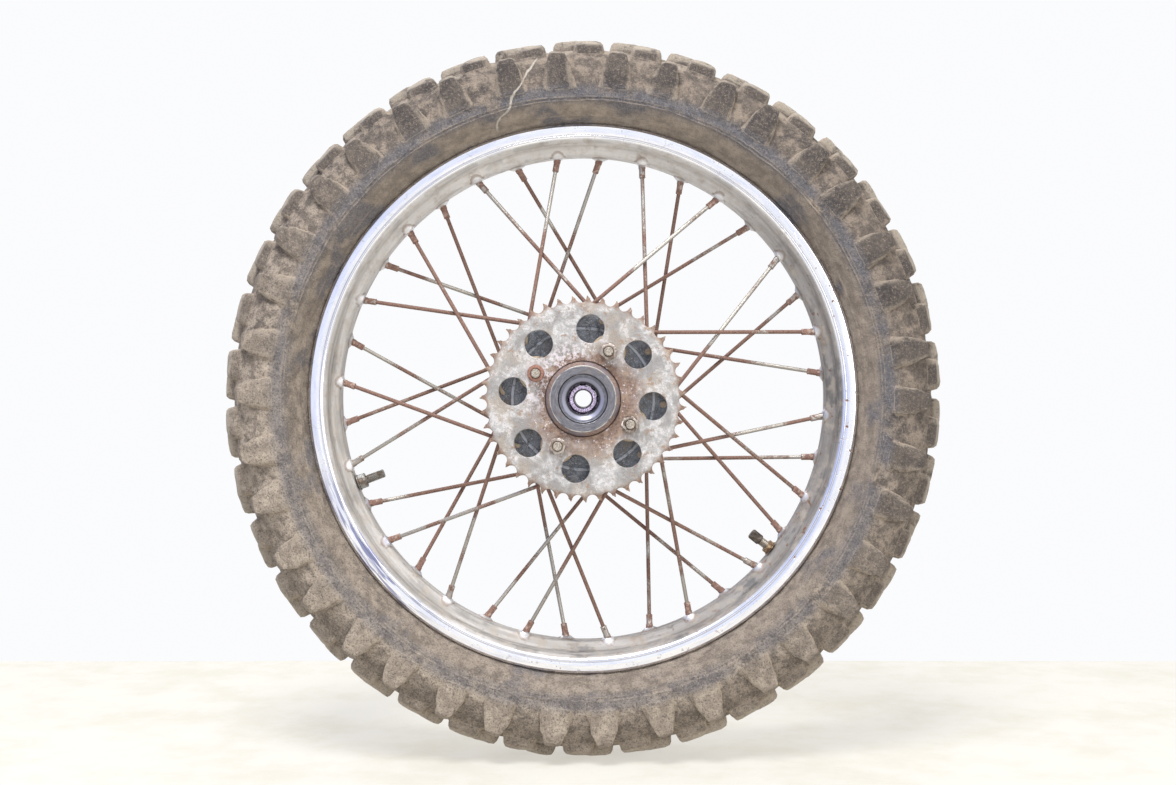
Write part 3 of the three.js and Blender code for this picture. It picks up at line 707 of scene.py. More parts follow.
CASING = [(0, 309.2), (14, 308.6), (27, 305.8), (38, 299.6), (46, 289), (50.6, 277), (52.3, 266),
          (51.2, 259.5), (46.5, 253.6), (39.5, 249), (33, 245.6), (27.4, 243.4)]
LINES_PER_GROUP = [-1.1, -1.0, -0.85, -0.5, 0.0, 0.5, 0.85, 1.0, 1.1]
BEVEL_SHARE = {1.1: 0.0, 1.0: 0.66, 0.85: 0.93, 0.5: 1.0, 0.0: 1.0}


def curve_through(points, count):
    """Evenly spaced points along a smooth curve through control points."""
    control = [Vector(p) for p in points]
    dense = []
    for i in range(len(control) - 1):
        before = control[max(i - 1, 0)]
        a, b = control[i], control[i + 1]
        after = control[min(i + 2, len(control) - 1)]
        for k in range(24):
            t = k / 24
            dense.append(0.5 * (2 * a + (b - before) * t + (2 * before - 5 * a + 4 * b - after) * t * t
                                + (3 * a - before - 3 * b + after) * t ** 3))
    dense.append(control[-1])
    xy = np.array([tuple(p) for p in dense])
    walked = np.concatenate([[0], np.cumsum(np.linalg.norm(np.diff(xy, axis=0), axis=1))])
    wanted = np.linspace(0, walked[-1], count)
    return np.stack([np.interp(wanted, walked, xy[:, 0]), np.interp(wanted, walked, xy[:, 1])], 1), walked[-1]


class TyreRows:
    """The rows of points across one half of the tyre, from the crown to the bead."""

    def __init__(self):
        self.curve, self.length = curve_through(CASING, 800)
        self.rows = []

    def base_at(self, share):
        return self.curve[int(round(np.clip(share, 0, 1) * (len(self.curve) - 1)))]

    def share_near(self, y, radius):
        gaps = np.hypot(self.curve[:, 0] - y, self.curve[:, 1] - radius)
        return int(np.argmin(gaps)) / (len(self.curve) - 1)

    def add(self, kind, base, top=None, span=None):
        self.rows.append({"kind": kind, "base": base, "top": base if top is None else top,
                          "raised": top is not None, "span": span, "group": "B" if kind == "shoulder" else "A"})

    def block(self, kind, start, crest, end, radius, spans, step=3.4):
        """A block whose section runs from a foot on the casing over its crest to its other foot.
        Spans give its [centre, half width] in degrees at the first and last crest points."""
        outline = ([start] if start else []) + list(crest) + [end]
        line = refined(rounded(outline, radius, closed=False, steps=2), step, closed=False)
        first = self.share_near(*start) if start else 0.0
        last = self.share_near(*end)
        count = len(line)
        for i, p in enumerate(line):
            share = first + (last - first) * (0.08 + 0.84 * i / (count - 1))
            t = i / (count - 1)
            span = [spans[0][k] * (1 - t) + spans[1][k] * t for k in range(2)]
            if kind == "side":
                span[1] *= 1 - 0.28 * float(smoothstep(p.y, crest[-1][1] + 20, crest[-1][1] + 32))
            if start and i == 0:
                self.add(kind, self.base_at(first), None, span)
            elif i == count - 1:
                self.add(kind, self.base_at(last), None, span)
            else:
                self.add(kind, self.base_at(share), np.array(p), span)


def tyre_rows():
    made = TyreRows()
    made.block("centre", None, [(0, 319), (14.8, 318.3)], (16.6, 308.2), 2.4, [(1.2, 2.4), (1.2, 2.4)])
    made.block("shoulder", (17.6, 308), [(18.8, 316.9), (28, 313.6), (36, 309)], (38.2, 299), 2.6,
               [(4.5, 2.36), (4.6, 2.45)])
    made.block("side", (39.2, 298), [(39.8, 305), (50.6, 300.4), (54, 270)], (52.5, 267.2), 2.0,
               [(0.0, 1.8), (0.0, 2.75)])
    start = made.share_near(52.3, 266)
    count = 34
    for k in range(1, count + 1):
        y, radius = made.base_at(start + (1 - start) * k / count)
        rib = sum(math.exp(-((radius - at) / 0.6) ** 2) for at in RIBS)
        made.add("plain", np.array((y + 0.75 * rib, radius - 0.25 * rib)))
    inside = refined([(27.4, 243.4), (24.6, 241.4), (22.6, 230.2), (15.6, 228.9), (19.5, 243.5), (44.5, 268),
                      (32, 298), (0, 300)], 14, closed=False)
    for p in inside[1:]:
        made.add("inside", np.array(p))
    return made.rows


def tyre_angles(row, draws):
    """The angles of all the lines round one row."""
    marks = np.array(LINES_PER_GROUP)
    group = len(marks)
    k = np.arange(LUGS)
    nudge = np.where(k % 2, -0.8, 0.0) * (row["kind"] == "side")
    start = FIRST_LUG + PITCH * k
    angles = np.empty((LUGS, 2 * group))
    if row["span"] is None:
        return (start[:, None] + PITCH * (np.arange(2 * group)[None, :] - group / 2) / (2 * group)).ravel()
    centre, half = row["span"]
    own = draws[row["kind"]]
    middle = start + centre + nudge + own["shift"]
    widths = half * own["width"]
    block = middle[:, None] + widths[:, None] * marks[None, :]
    margin = 0.12
    if row["group"] == "A":
        low = block[:, -1]
        high = np.roll(block[:, 0], -1)
        high[-1] += 360
    else:
        low = np.roll(block[:, -1], 1)
        low[0] -= 360
        high = block[:, 0]
    t = np.linspace(margin, 1 - margin, group)[None, :]
    fill = low[:, None] + (high - low)[:, None] * t
    angles[:, :group] = block if row["group"] == "A" else fill
    angles[:, group:] = fill if row["group"] == "A" else block
    return angles.ravel()


def build_tyre(look):
    rng = np.random.default_rng(18)
    half = tyre_rows()
    marks = np.array(LINES_PER_GROUP)
    group = len(marks)
    lift = np.array([BEVEL_SHARE[abs(m)] for m in marks])
    beside = (np.abs(marks) > 0.95).astype(float)
    rows, face, flank, rough = [], [], [], []

    def drawn():
        return {"shift": rng.normal(0, 0.07, LUGS), "width": rng.normal(1, 0.025, LUGS),
                "height": rng.uniform(0.94, 1.0, LUGS), "tilt": rng.normal(0, 0.02, LUGS)}

    draws = {"centre": drawn()}
    for side in (1, -1):
        draws["shoulder"], draws["side"] = drawn(), drawn()
        order = half if side == 1 else half[1:-1][::-1]
        for row in order:
            angles = np.radians(tyre_angles(row, draws))
            raised = np.zeros((LUGS, 2 * group))
            walls = np.zeros((LUGS, 2 * group))
            if row["span"] is not None:
                own = draws[row["kind"]]
                columns = slice(0, group) if row["group"] == "A" else slice(group, 2 * group)
                if row["raised"]:
                    tilt = 1 + own["tilt"][:, None] * marks[None, :]
                    raised[:, columns] = lift[None, :] * own["height"][:, None] * tilt
                    walls[:, columns] = beside[None, :]
            raised = raised.ravel()
            base, top = np.asarray(row["base"]), np.asarray(row["top"])
            section = base[None, :] + raised[:, None] * (top - base)[None, :]
            grid = np.empty((len(angles), 3))
            grid[:, 0] = section[:, 1] * np.sin(angles)
            grid[:, 1] = side * section[:, 0]
            grid[:, 2] = section[:, 1] * np.cos(angles)
            rows.append(grid * MM)
            face.append(np.clip(raised, 0, 1))
            flank.append(walls.ravel())
            rough.append(np.full(len(angles), float(row["kind"] != "inside")))
    points = np.array(rows)
    flat = points.reshape(-1, 3)
    rough = np.concatenate(rough)[:, None]
    worn = wobble(wobble(flat, 30, 1.1, 1), 9, 0.7, 2)
    worn = wobble(worn, 3.4, 0.35, 3)
    flat = flat + (worn - flat) * rough
    piece = Piece("tyre_knobbly_cover")
    piece.grid(flat.reshape(points.shape), True)
    piece.layers = {"face": np.concatenate(face), "flank": np.concatenate(flank)}
    return piece.finish("wheel", ["tyre"], "tyre_rubber", [look], sharp=50)


def build_tube_and_band(look):
    skin = rounded(mirrored([(10, 236.5), (33, 262), (42, 271.5), (29, 294)]), 9)
    hollow = rounded(mirrored([(9, 239.2), (31.5, 264.2), (39.3, 272), (27.4, 291.5)]), 8)
    valve_metal = rusty_metal("valve_stem_brass", colour(176, 166, 152), colour(124, 106, 90), 0.35,
                              size=9, light=colour(200, 192, 180))
    tube = Piece("inner_tube_with_valve_stem")
    tube.ring(skin, 96)
    tube.ring(hollow, 96)
    stem = outward(VALVE) * -1
    add_thread(tube, outward(VALVE) * 0.204, stem, -26, 0, 3.9, 0.8, slot=1)
    tube.turned(outward(VALVE) * 0.204, stem, rounded([(0, 1.2), (0, 3.7), (0.6, 2.7), (8.4, 2.7), (8.4, 1.2)],
                                                      0.2, steps=2), 24, 1, closed=True)
    tube.finish("wheel", ["inner_tube"], "tube_rubber", [look, valve_metal])
    band = Piece("rim_band_strip")
    band.ring(rounded([(-8.5, 225.8), (8.5, 225.8), (8.5, 227.3), (-8.5, 227.3)], 0.6), 180)
    band.finish("wheel", ["rim_band"], "tube_rubber", [look])


# ---- Rim -------------------------------------------------------------------------------------------

DIMPLE_RADIUS = 7.6
DIMPLE_TOP = 3.9
DIMPLE_HEIGHT = 2.6


def spoke_list():
    """Where each spoke runs: the same lacing as the frame's, two crosses, 18 to a flange."""
    spokes = []
    for k in range(SPOKES):
        flange = NEAR_FLANGE if k % 2 else FAR_FLANGE
        lean = 1 if k % 4 in (1, 2) else -1
        rim_angle = FIRST_SPOKE + SPOKE_STEP * k
        hub_angle = rim_angle + lean * LACING
        side = flange["side"]
        head_out = lean * -side > 0
        clear, room = 0.45 + WIRE, 0.6
        if head_out:
            elbow_y, head_y = flange["inner"] - side * clear, flange["outer"] + side * (room + 0.4)
        else:
            elbow_y, head_y = flange["outer"] + side * (clear + room), flange["inner"] - side * 0.4
        elbow = polar(hub_angle, SPOKE_CIRCLE, elbow_y)
        head = polar(hub_angle, SPOKE_CIRCLE, head_y)
        end = polar(rim_angle, WELL_RADIUS, side * NIPPLE_OFFSET)
        spokes.append({"number": k + 1, "elbow": elbow, "head": head, "end": end, "angle": rim_angle, "side": side})
    return spokes


def build_rim(look):
    """The rolled rim, with its punched dimples standing out towards the hub round every nipple."""
    hub_side = [(9.5, WELL_RADIUS, 2.5), (15, 224.4, 3), (25.6, 226.0, 3.5)]
    flange = [(28.7, 229.4, 1.6), (29.4, 231.2, 0.7), (29.1, 231.8, 0.3), (29.9, 234.5, 4), (29.6, 239.6, 2), (28.0, 241.9, 0.9)]
    tyre_side = [(25.4, 240.6, 0.9), (24.9, 239.0, 1.5), (22.9, 228.6, 3), (15.4, 227.2, 2), (9.9, WELL_RADIUS + 2.6, 2)]
    outline = refined(rounded(mirrored(hub_side + flange + tyre_side), 1.5), 1.7)
    columns = 720
    turns = np.radians(np.arange(columns) * 360 / columns)
    outline = np.array([tuple(p) for p in outline])
    y = np.repeat(outline[:, :1], columns, 1)
    radius = np.repeat(outline[:, 1:], columns, 1)
    inner_face = (outline[:, 1] < 226.6) & (np.abs(outline[:, 0]) < 26)
    on_well = inner_face & (outline[:, 1] < np.where(np.abs(outline[:, 0]) < 11, WELL_RADIUS + 1.6, 226.2))
    lift = np.zeros_like(radius)
    for spoke in spoke_list():
        a = math.radians(spoke["angle"])
        away = (turns - a + math.pi) % (2 * math.pi) - math.pi
        along = away[None, :] * WELL_RADIUS
        across = (y - spoke["side"] * (NIPPLE_OFFSET + 0.6)) * 0.92
        gap = np.hypot(along, across)
        cone = 1 - smoothstep(gap, DIMPLE_TOP, DIMPLE_RADIUS)
        lift = np.maximum(lift, cone * DIMPLE_HEIGHT)
    lift = lift * on_well[:, None]
    radius = radius - lift
    radius = radius + (0.12 * np.sin(turns * 5 + 1.0) + 0.08 * np.sin(turns * 11))[None, :]
    grid = np.stack([radius * np.sin(turns), y, radius * np.cos(turns)], 2) * MM
    piece = Piece("rim_rolled_chrome")
    piece.grid(grid, True)
    piece.layers = {"dimple": (lift / DIMPLE_HEIGHT).ravel()}
    return piece.finish("wheel", ["rim"], "rim_chrome", [look], sharp=55)


# ---- Spokes ----------------------------------------------------------------------------------------

NIPPLE_LENGTH = 14
NIPPLE_RADIUS = 3.1


def build_spoke(spoke, wire_look, nipple_look):
    """A headed wire bent at its elbow, with its square-shouldered nipple."""
    elbow, head, end = spoke["elbow"], spoke["head"], spoke["end"]
    along = (end - elbow).normalized()
    shank = (elbow - head).normalized()
    length = (end - elbow).length / MM
    piece = Piece(f"spoke_wire_and_nipple_{spoke['number']:02d}")
    path = [head - shank * d * MM for d in (2.1, 1.9, 1.3, 0.5, 0.05)]
    radii = [1.1, 2.1, 2.8, 3.05, 2.85]
    path.append(head + shank * 0.3 * MM)
    radii.append(WIRE)
    bend = 2.4
    start, finish = elbow - shank * min(bend, (elbow - head).length / MM * 0.8) * MM, elbow + along * bend * MM
    for k in range(7):
        t = k / 6
        path.append(start * (1 - t) ** 2 + elbow * 2 * t * (1 - t) + finish * t * t)
        radii.append(WIRE)
    straight = length - NIPPLE_LENGTH + 2
    for k in range(1, 9):
        path.append(finish.lerp(elbow + along * straight * MM, k / 8))
        radii.append(WIRE)
    piece.tube(path, radii, 12)

    def flats(distance, radius, turn):
        if radius < NIPPLE_RADIUS - 0.05 or not 0.7 < distance < 8.6:
            return radius
        a = (turn * 2 * math.pi + math.pi / 4) % (math.pi / 2) - math.pi / 4
        return min(radius, 2.72 / math.cos(a))

    outline = [(0, 1.8), (0, 2.3), (0.7, 2.95), (1.2, NIPPLE_RADIUS), (8.4, NIPPLE_RADIUS), (8.8, NIPPLE_RADIUS),
               (12, NIPPLE_RADIUS + 0.08), (18.6, NIPPLE_RADIUS), (20.6, 4.4), (20.9, 4.0), (20.9, 1.8)]
    piece.turned(end - along * NIPPLE_LENGTH * MM, along, outline, 20, 1, closed=True, shape=flats)
    return piece.finish("wheel", [f"spoke_{spoke['number']:02d}"], "spoke_steel", [wire_look, nipple_look], sharp=38)


# ---- Hub -------------------------------------------------------------------------------------------

DRUM_WALL = 59
BEARING_SEAT = 21.3


def build_hub(look):
    """The hub shell: boss, sprocket seat with its four pads, both spoke flanges and the open drum."""
    boss = [(-65.6, BEARING_SEAT, 0.2), (-66, BEARING_SEAT + 0.5, 0.2), (-66, 28.6, 0.5), (-64.6, 29.0, 0.5),
            (-64.2, 30.2, 0.9), (-62.4, 31.9, 1.4), (-52.7, 32.2, 0.5), (-52.4, 33.5, 0.3),
            (-50.4, 33.9, 0.6), (-50.4, 39.5, 0.8), (-46.9, 41.5, 1.2)]
    near = [(-46.6, 59.6, 0.6), (-47.6, 60.4, 0.4), (-47.6, 62.2, 0.4), (-46.4, 63, 0.8), (-44.4, 75.2, 0.9),
            (-42.2, 75.2, 0.8), (-41.5, 48, 4)]
    barrel = [(-34, 34, 6), (6, 34, 7), (15.4, 51, 4), (17.6, 64, 2.5)]
    far = [(36, 64, 1.6), (36.6, 75.2, 0.8), (38.5, 75.2, 0.8), (40.6, 65.8, 1.2), (46, 64.6, 0.8), (49.9, 64.2, 0.7)]
    drum = [(49.9, DRUM_WALL, 0.6), (20, DRUM_WALL, 3), (20.6, 33, 4), (27, 28.2, 0.8)]
    bore = [(27, BEARING_SEAT, 0.5), (12.5, BEARING_SEAT, 0.4), (12.5, 17.5, 0.4), (-44.5, 17.5, 0.4),
            (-44.5, BEARING_SEAT, 0.4)]
    piece = Piece("hub_shell_with_studs")
    piece.ring(refined(rounded(boss + near + barrel + far + drum + bore, 0.8), 4), 216)
    for k in range(4):
        angle = FIRST_STUD + 90 * k
        at = polar(angle, STUD_CIRCLE, 0)
        pad = rounded([(-52.7, STUD + 0.2), (-52.7, 14.9, 0.9), (-45.6, 15.5, 0.5), (-45.6, STUD + 0.2)], 0.4, steps=3)
        piece.turned(at, AXLE, pad, 48, 0, closed=True)
        add_thread(piece, at, AXLE, -70.6, -50, STUD, 1.25)
    for k in range(12):
        angle = 15 + 30 * k
        across = outward(angle + 90)
        foot, tip = 30.5, 56.5
        rows = []
        for r, high in ((foot, 26.0), (foot + 4, 27.2), (tip - 5, 25.2), (tip, 23.4)):
            row = []
            for width, lift in ((2.4, 19.0), (1.6, high - 0.6), (1.0, high), (-1.0, high), (-1.6, high - 0.6), (-2.4, 19.0)):
                row.append(polar(angle, r, lift) + across * width * MM)
            rows.append(row)
        piece.grid(rows, False)
    piece.finish("wheel", ["hub"], "hub_paint", [look], sharp=40)


def build_drum_liner(look):
    liner = Piece("drum_liner_ring")
    liner.ring(refined(rounded([(20.3, 55), (49.2, 55), (49.2, 58.6), (20.3, 58.6)], 0.7, steps=3), 3), 180)
    liner.finish("wheel", ["drum_liner"], "drum_iron", [look])


# ---- Sprocket --------------------------------------------------------------------------------------

def circle(x, z, radius, count):
    return [Vector((x + radius * math.cos(2 * math.pi * k / count), z + radius * math.sin(2 * math.pi * k / count)))
            for k in range(count)]


def offset_loop(loop, amount):
    """A closed loop moved sideways, outwards for a loop that runs anticlockwise."""
    moved = []
    for i, p in enumerate(loop):
        along = (loop[(i + 1) % len(loop)] - loop[i - 1]).normalized()
        moved.append(p + Vector((along.y, -along.x)) * amount)
    return moved


def inside_loop(points, loop):
    """Which of the points lie inside a closed loop."""
    px, py = points[:, 0], points[:, 1]
    hit = np.zeros(len(points), bool)
    corners = np.array([tuple(p) for p in loop])
    ahead = np.roll(corners, -1, 0)
    for (x0, y0), (x1, y1) in zip(corners, ahead):
        if y0 == y1:
            continue
        crosses = (y0 > py) != (y1 > py)
        hit ^= crosses & (px < (x1 - x0) * (py - y0) / (y1 - y0) + x0)
    return hit


def add_plate(piece, outer, holes, front, back, bevel, spacing, shape=None):
    """A flat plate in the wheel's plane with bevelled rims, its faces filled with an even mesh."""
    loops = [outer] + holes
    insets = [offset_loop(outer, -bevel)] + [offset_loop(h, bevel) for h in holes]
    reach = max(abs(c) for p in outer for c in p)
    ticks = np.arange(-reach, reach, spacing)
    gx, gy = np.meshgrid(ticks, ticks)
    gx[::2] += spacing / 2
    grid = np.stack([gx.ravel(), gy.ravel()], 1)
    keep = inside_loop(grid, offset_loop(outer, -bevel - spacing * 0.6))
    for hole in holes:
        keep &= ~inside_loop(grid, offset_loop(hole, bevel + spacing * 0.6))
    points = [p for loop in insets for p in loop]
    edges, first = [], 0
    for loop in insets:
        edges += [(first + i, first + (i + 1) % len(loop)) for i in range(len(loop))]
        first += len(loop)
    points += [Vector(p) for p in grid[keep]]
    made = geometry.delaunay_2d_cdt(points, edges, [], 0, 1e-5)
    verts, tris, sources = made[0], made[2], made[3]
    flat = np.array([tuple(v) for v in verts])
    middles = np.array([flat[list(t)].mean(0) for t in tris])
    good = inside_loop(middles, insets[0])
    for inset in insets[1:]:
        good &= ~inside_loop(middles, inset)
    tris = [t for t, g in zip(tris, good) if g]
    place = {}
    for index, source in enumerate(sources):
        for s in source:
            place[s] = index

    def depth(x, z, y):
        return shape(x, z, y) if shape else y

    count = len(flat)
    face = [(x, depth(x, z, front), z) for x, z in flat]
    rear = [(x, depth(x, z, back), z) for x, z in flat]
    all_points, faces = face + rear, [tuple(t) for t in tris] + [tuple(t)[::-1] for t in np.array(tris) + count]
    first = 0
    for loop in loops:
        size, start = len(loop), len(all_points)
        for y in (front + bevel, back - bevel):
            all_points += [(p.x, depth(p.x, p.y, y), p.y) for p in loop]
        for i in range(size):
            k = (i + 1) % size
            a, b = place[first + i], place[first + k]
            low, high = start, start + size
            faces += [(a, b, low + k, low + i), (low + i, low + k, high + k, high + i),
                      (high + i, high + k, count + b, count + a)]
        first += size
    used = sorted({i for f in faces for i in f})
    new_index = {old: new for new, old in enumerate(used)}
    piece.add(np.array(all_points)[used] * MM, [[new_index[int(i)] for i in f] for f in faces])


def tooth_outline():
    """Worn hooked teeth: wide round gullets between thin points that lean over."""
    pitch_radius = CHAIN_PITCH / (2 * math.sin(math.pi / SPROCKET_TEETH))
    step = 360 / SPROCKET_TEETH
    gullet = 4.75
    rng = random.Random(7)
    loop = []
    for k in range(SPROCKET_TEETH):
        tip = 3 + step * k
        wear = rng.uniform(-0.5, 0.25)
        lean = -0.7 + rng.uniform(-0.25, 0.25)
        scale = 180 / math.pi / pitch_radius
        loop.append((tip + (lean - 0.42) * scale, pitch_radius + 1.9 + wear))
        loop.append((tip + (lean + 0.1) * scale, pitch_radius + 2.2 + wear))
        loop.append((tip + (lean * 0.5 + 0.8) * scale, pitch_radius + 0.7 + wear * 0.5))
        middle = tip + step / 2
        for i in range(11):
            a = math.radians(-84 + 168 * i / 10)
            loop.append((middle + gullet * math.sin(a) * scale * 1.02, pitch_radius + 0.35 - gullet * math.cos(a)))
    return [Vector((r * math.sin(math.radians(t)), r * math.cos(math.radians(t)))) for t, r in loop][::-1]


def build_sprocket(look):
    outer = tooth_outline()
    holes = [circle(0, 0, 32.6, 120)]
    for k in range(8):
        at = polar(6 + 45 * k, 60.5, 0) / MM
        holes.append(circle(at.x, at.z, 12.2, 56))
    for k in range(4):
        at = polar(FIRST_STUD + 90 * k, STUD_CIRCLE, 0) / MM
        holes.append(circle(at.x, at.z, STUD + 0.5, 28))
    middle = (SPROCKET_FRONT + SPROCKET_BACK) / 2

    def thin(x, z, y):
        radius = math.hypot(x, z)
        share = float(smoothstep(np.float64(radius), 80.5, 88.5))
        dish = 0.12 * noise.noise(Vector((x, z, y)) / 9) + 0.1 * noise.noise(Vector((x, z, y)) / 3)
        return y + (middle - y) * share * 0.42 + dish

    piece = Piece("sprocket_plate_worn")
    add_plate(piece, outer, holes, SPROCKET_FRONT, SPROCKET_BACK, 0.5, 2.2, thin)
    return piece.finish("wheel", ["sprocket"], "sprocket_steel", [look], sharp=42)


def build_sprocket_nuts():
    tints = [((192, 180, 170), (152, 132, 118), 0.5), ((186, 176, 166), (122, 104, 92), 0.5),
             ((194, 184, 176), (160, 142, 128), 0.5), ((196, 164, 150), (172, 128, 112), 0.95)]
    for k, (bright, rust, share) in enumerate(tints):
        look = rusty_metal(f"sprocket_nut_metal_{k + 1}", colour(*bright), colour(*rust), share, size=6,
                           light=colour(214, 204, 194) if k != 3 else None)
        piece = Piece(f"sprocket_nut_hex_{k + 1}")
        at = polar(FIRST_STUD + 90 * k, STUD_CIRCLE, SPROCKET_FRONT - 0.05)
        add_nut(piece, at, -AXLE, 13, 6.7, STUD + 0.15, washer=0.9)
        piece.finish("wheel", [f"sprocket_nut_{k + 1}"], "fastener_steel", [look], sharp=30, bevel=0.22)


# ---- Bearings, seal and distance tube --------------------------------------------------------------

BALLS = 8
BALL_CIRCLE = 14.25


def build_bearing(side, y, steel, inner_look, cage_look):
    half = 6.5
    outer = Piece(f"{side}_bearing_outer_race")
    groove = [(y + 3.4 * math.sin(a), 15.3 + 3.4 * math.cos(a)) for a in np.linspace(0.96, -0.96, 9)]
    outer.ring(rounded([(y - half, 21, 0.8), (y + half, 21, 0.8), (y + half, 16.9, 0.3)] +
                       [(*p, 0) for p in groove] + [(y - half, 16.9, 0.3)], 0.3, steps=3), 96)
    outer.finish("wheel", [f"{side}_bearing_outer_ring"], "bearing_steel", [steel])
    inner = Piece(f"{side}_bearing_inner_race")
    groove = [(y + 3.4 * math.sin(a), 13.2 - 3.4 * math.cos(a)) for a in np.linspace(-1.0, 1.0, 9)]
    inner.ring(rounded([(y - half, 7.5, 0.7), (y - half, 11.75, 0.5)] + [(*p, 0) for p in groove] +
                       [(y + half, 11.75, 0.5), (y + half, 7.5, 0.7)], 0.3, steps=3), 96)
    inner.finish("axle_parts", [f"{side}_bearing_inner_ring"], "bearing_steel", [inner_look])
    cage = Piece(f"{side}_bearing_balls_in_cage")
    cage.ring(rounded([(y - 1.2, 12.3), (y + 1.2, 12.3), (y + 1.2, 16.4), (y - 1.2, 16.4)], 0.4, steps=2), 96)
    for k in range(BALLS):
        at = polar(360 / BALLS * k, BALL_CIRCLE, y)
        outline = [(-3.3 * math.cos(a), max(3.3 * math.sin(a), 0.03)) for a in np.linspace(0, math.pi, 13)]
        cage.turned(at, AXLE, outline, 20)
    cage.finish(f"{side}_side_balls", [f"{side}_bearing_ball_cage"], "bearing_steel", [cage_look])


def build_seal(look):
    seal = Piece("oil_seal_lip")
    outline = [(-65.2, 21, 0.2), (-65.7, 20.3, 0.3), (-65.1, 19.6, 0.3), (-65.0, 18.4, 0.5), (-62.9, 15.2, 1.4),
               (-61.6, 13.5, 0.4), (-60.4, 13.4, 0.2), (-61, 17.5, 0.8), (-59, 18.6, 0.4), (-59, 21, 0.3)]
    seal.ring(rounded(outline, 0.3), 144)
    seal.finish("wheel", ["oil_seal"], "seal_rubber", [look])


def build_distance_tube(look):
    tube = Piece("distance_tube_sleeve")
    tube.ring(rounded([(-44.5, 7.8), (12.5, 7.8), (12.5, 10.5), (-44.5, 10.5)], 0.4, steps=3), 72)
    tube.finish("axle_parts", ["distance_tube"], "bearing_steel", [look])


# ---- Valve and rim lock ----------------------------------------------------------------------------

def build_valve(brass, cap_look):
    nut = Piece("valve_stem_nut")
    add_nut(nut, outward(VALVE) * 0.2154, -outward(VALVE), 12, 4.7, 4.1, washer=0.8)
    nut.finish("wheel", ["valve_nut"], "valve_brass", [brass], sharp=30, bevel=0.2)

    def knurl(distance, radius, turn):
        if radius < 4.5 or not 0.8 < distance < 9.6:
            return radius
        return radius - 0.3 + 0.3 * abs(((turn * 22) % 1) * 2 - 1)

    cap = Piece("valve_cap_knurled")
    outline = [(0, 2.9), (0, 4.3), (0.5, 4.66), (0.9, 4.7), (3.5, 4.7), (6.5, 4.7), (9.4, 4.7), (9.7, 4.5),
               (10.5, 3.9), (10.6, 3.0), (10.8, 0.6), (9.4, 0.4), (9.2, 2.8)]
    cap.turned(outward(VALVE) * 0.2037, -outward(VALVE), outline, 88, closed=True, shape=knurl)
    cap.finish("valve_cap", ["valve_cap"], "cap_metal", [cap_look], sharp=30)


def build_rim_lock(steel, nut_look):
    lock = Piece("rim_lock_pad_and_stud")
    rows = []
    for k in range(25):
        angle = LOCK - 7 + 14 * k / 24
        section = rounded([(-12, 228.2), (12, 228.2), (12, 233.6), (-12, 233.6)], 1.5, steps=3)
        rows.append([polar(angle, p.y, p.x) for p in section])
    lock.grid(rows, False)
    add_thread(lock, outward(LOCK) * 0.231, -outward(LOCK), 0, 40, STUD, 1.25)
    lock.finish("wheel", ["rim_lock"], "lock_steel", [steel])
    nut = Piece("rim_lock_hex_nut")
    add_nut(nut, outward(LOCK) * 0.2156, -outward(LOCK), 13, 7.6, STUD + 0.15, washer=1.2)
    nut.finish("wheel", ["rim_lock_nut"], "lock_steel", [nut_look], sharp=30, bevel=0.25)


# ---- Stage -----------------------------------------------------------------------------------------

BACKDROP = (0.965, 0.97, 0.985)


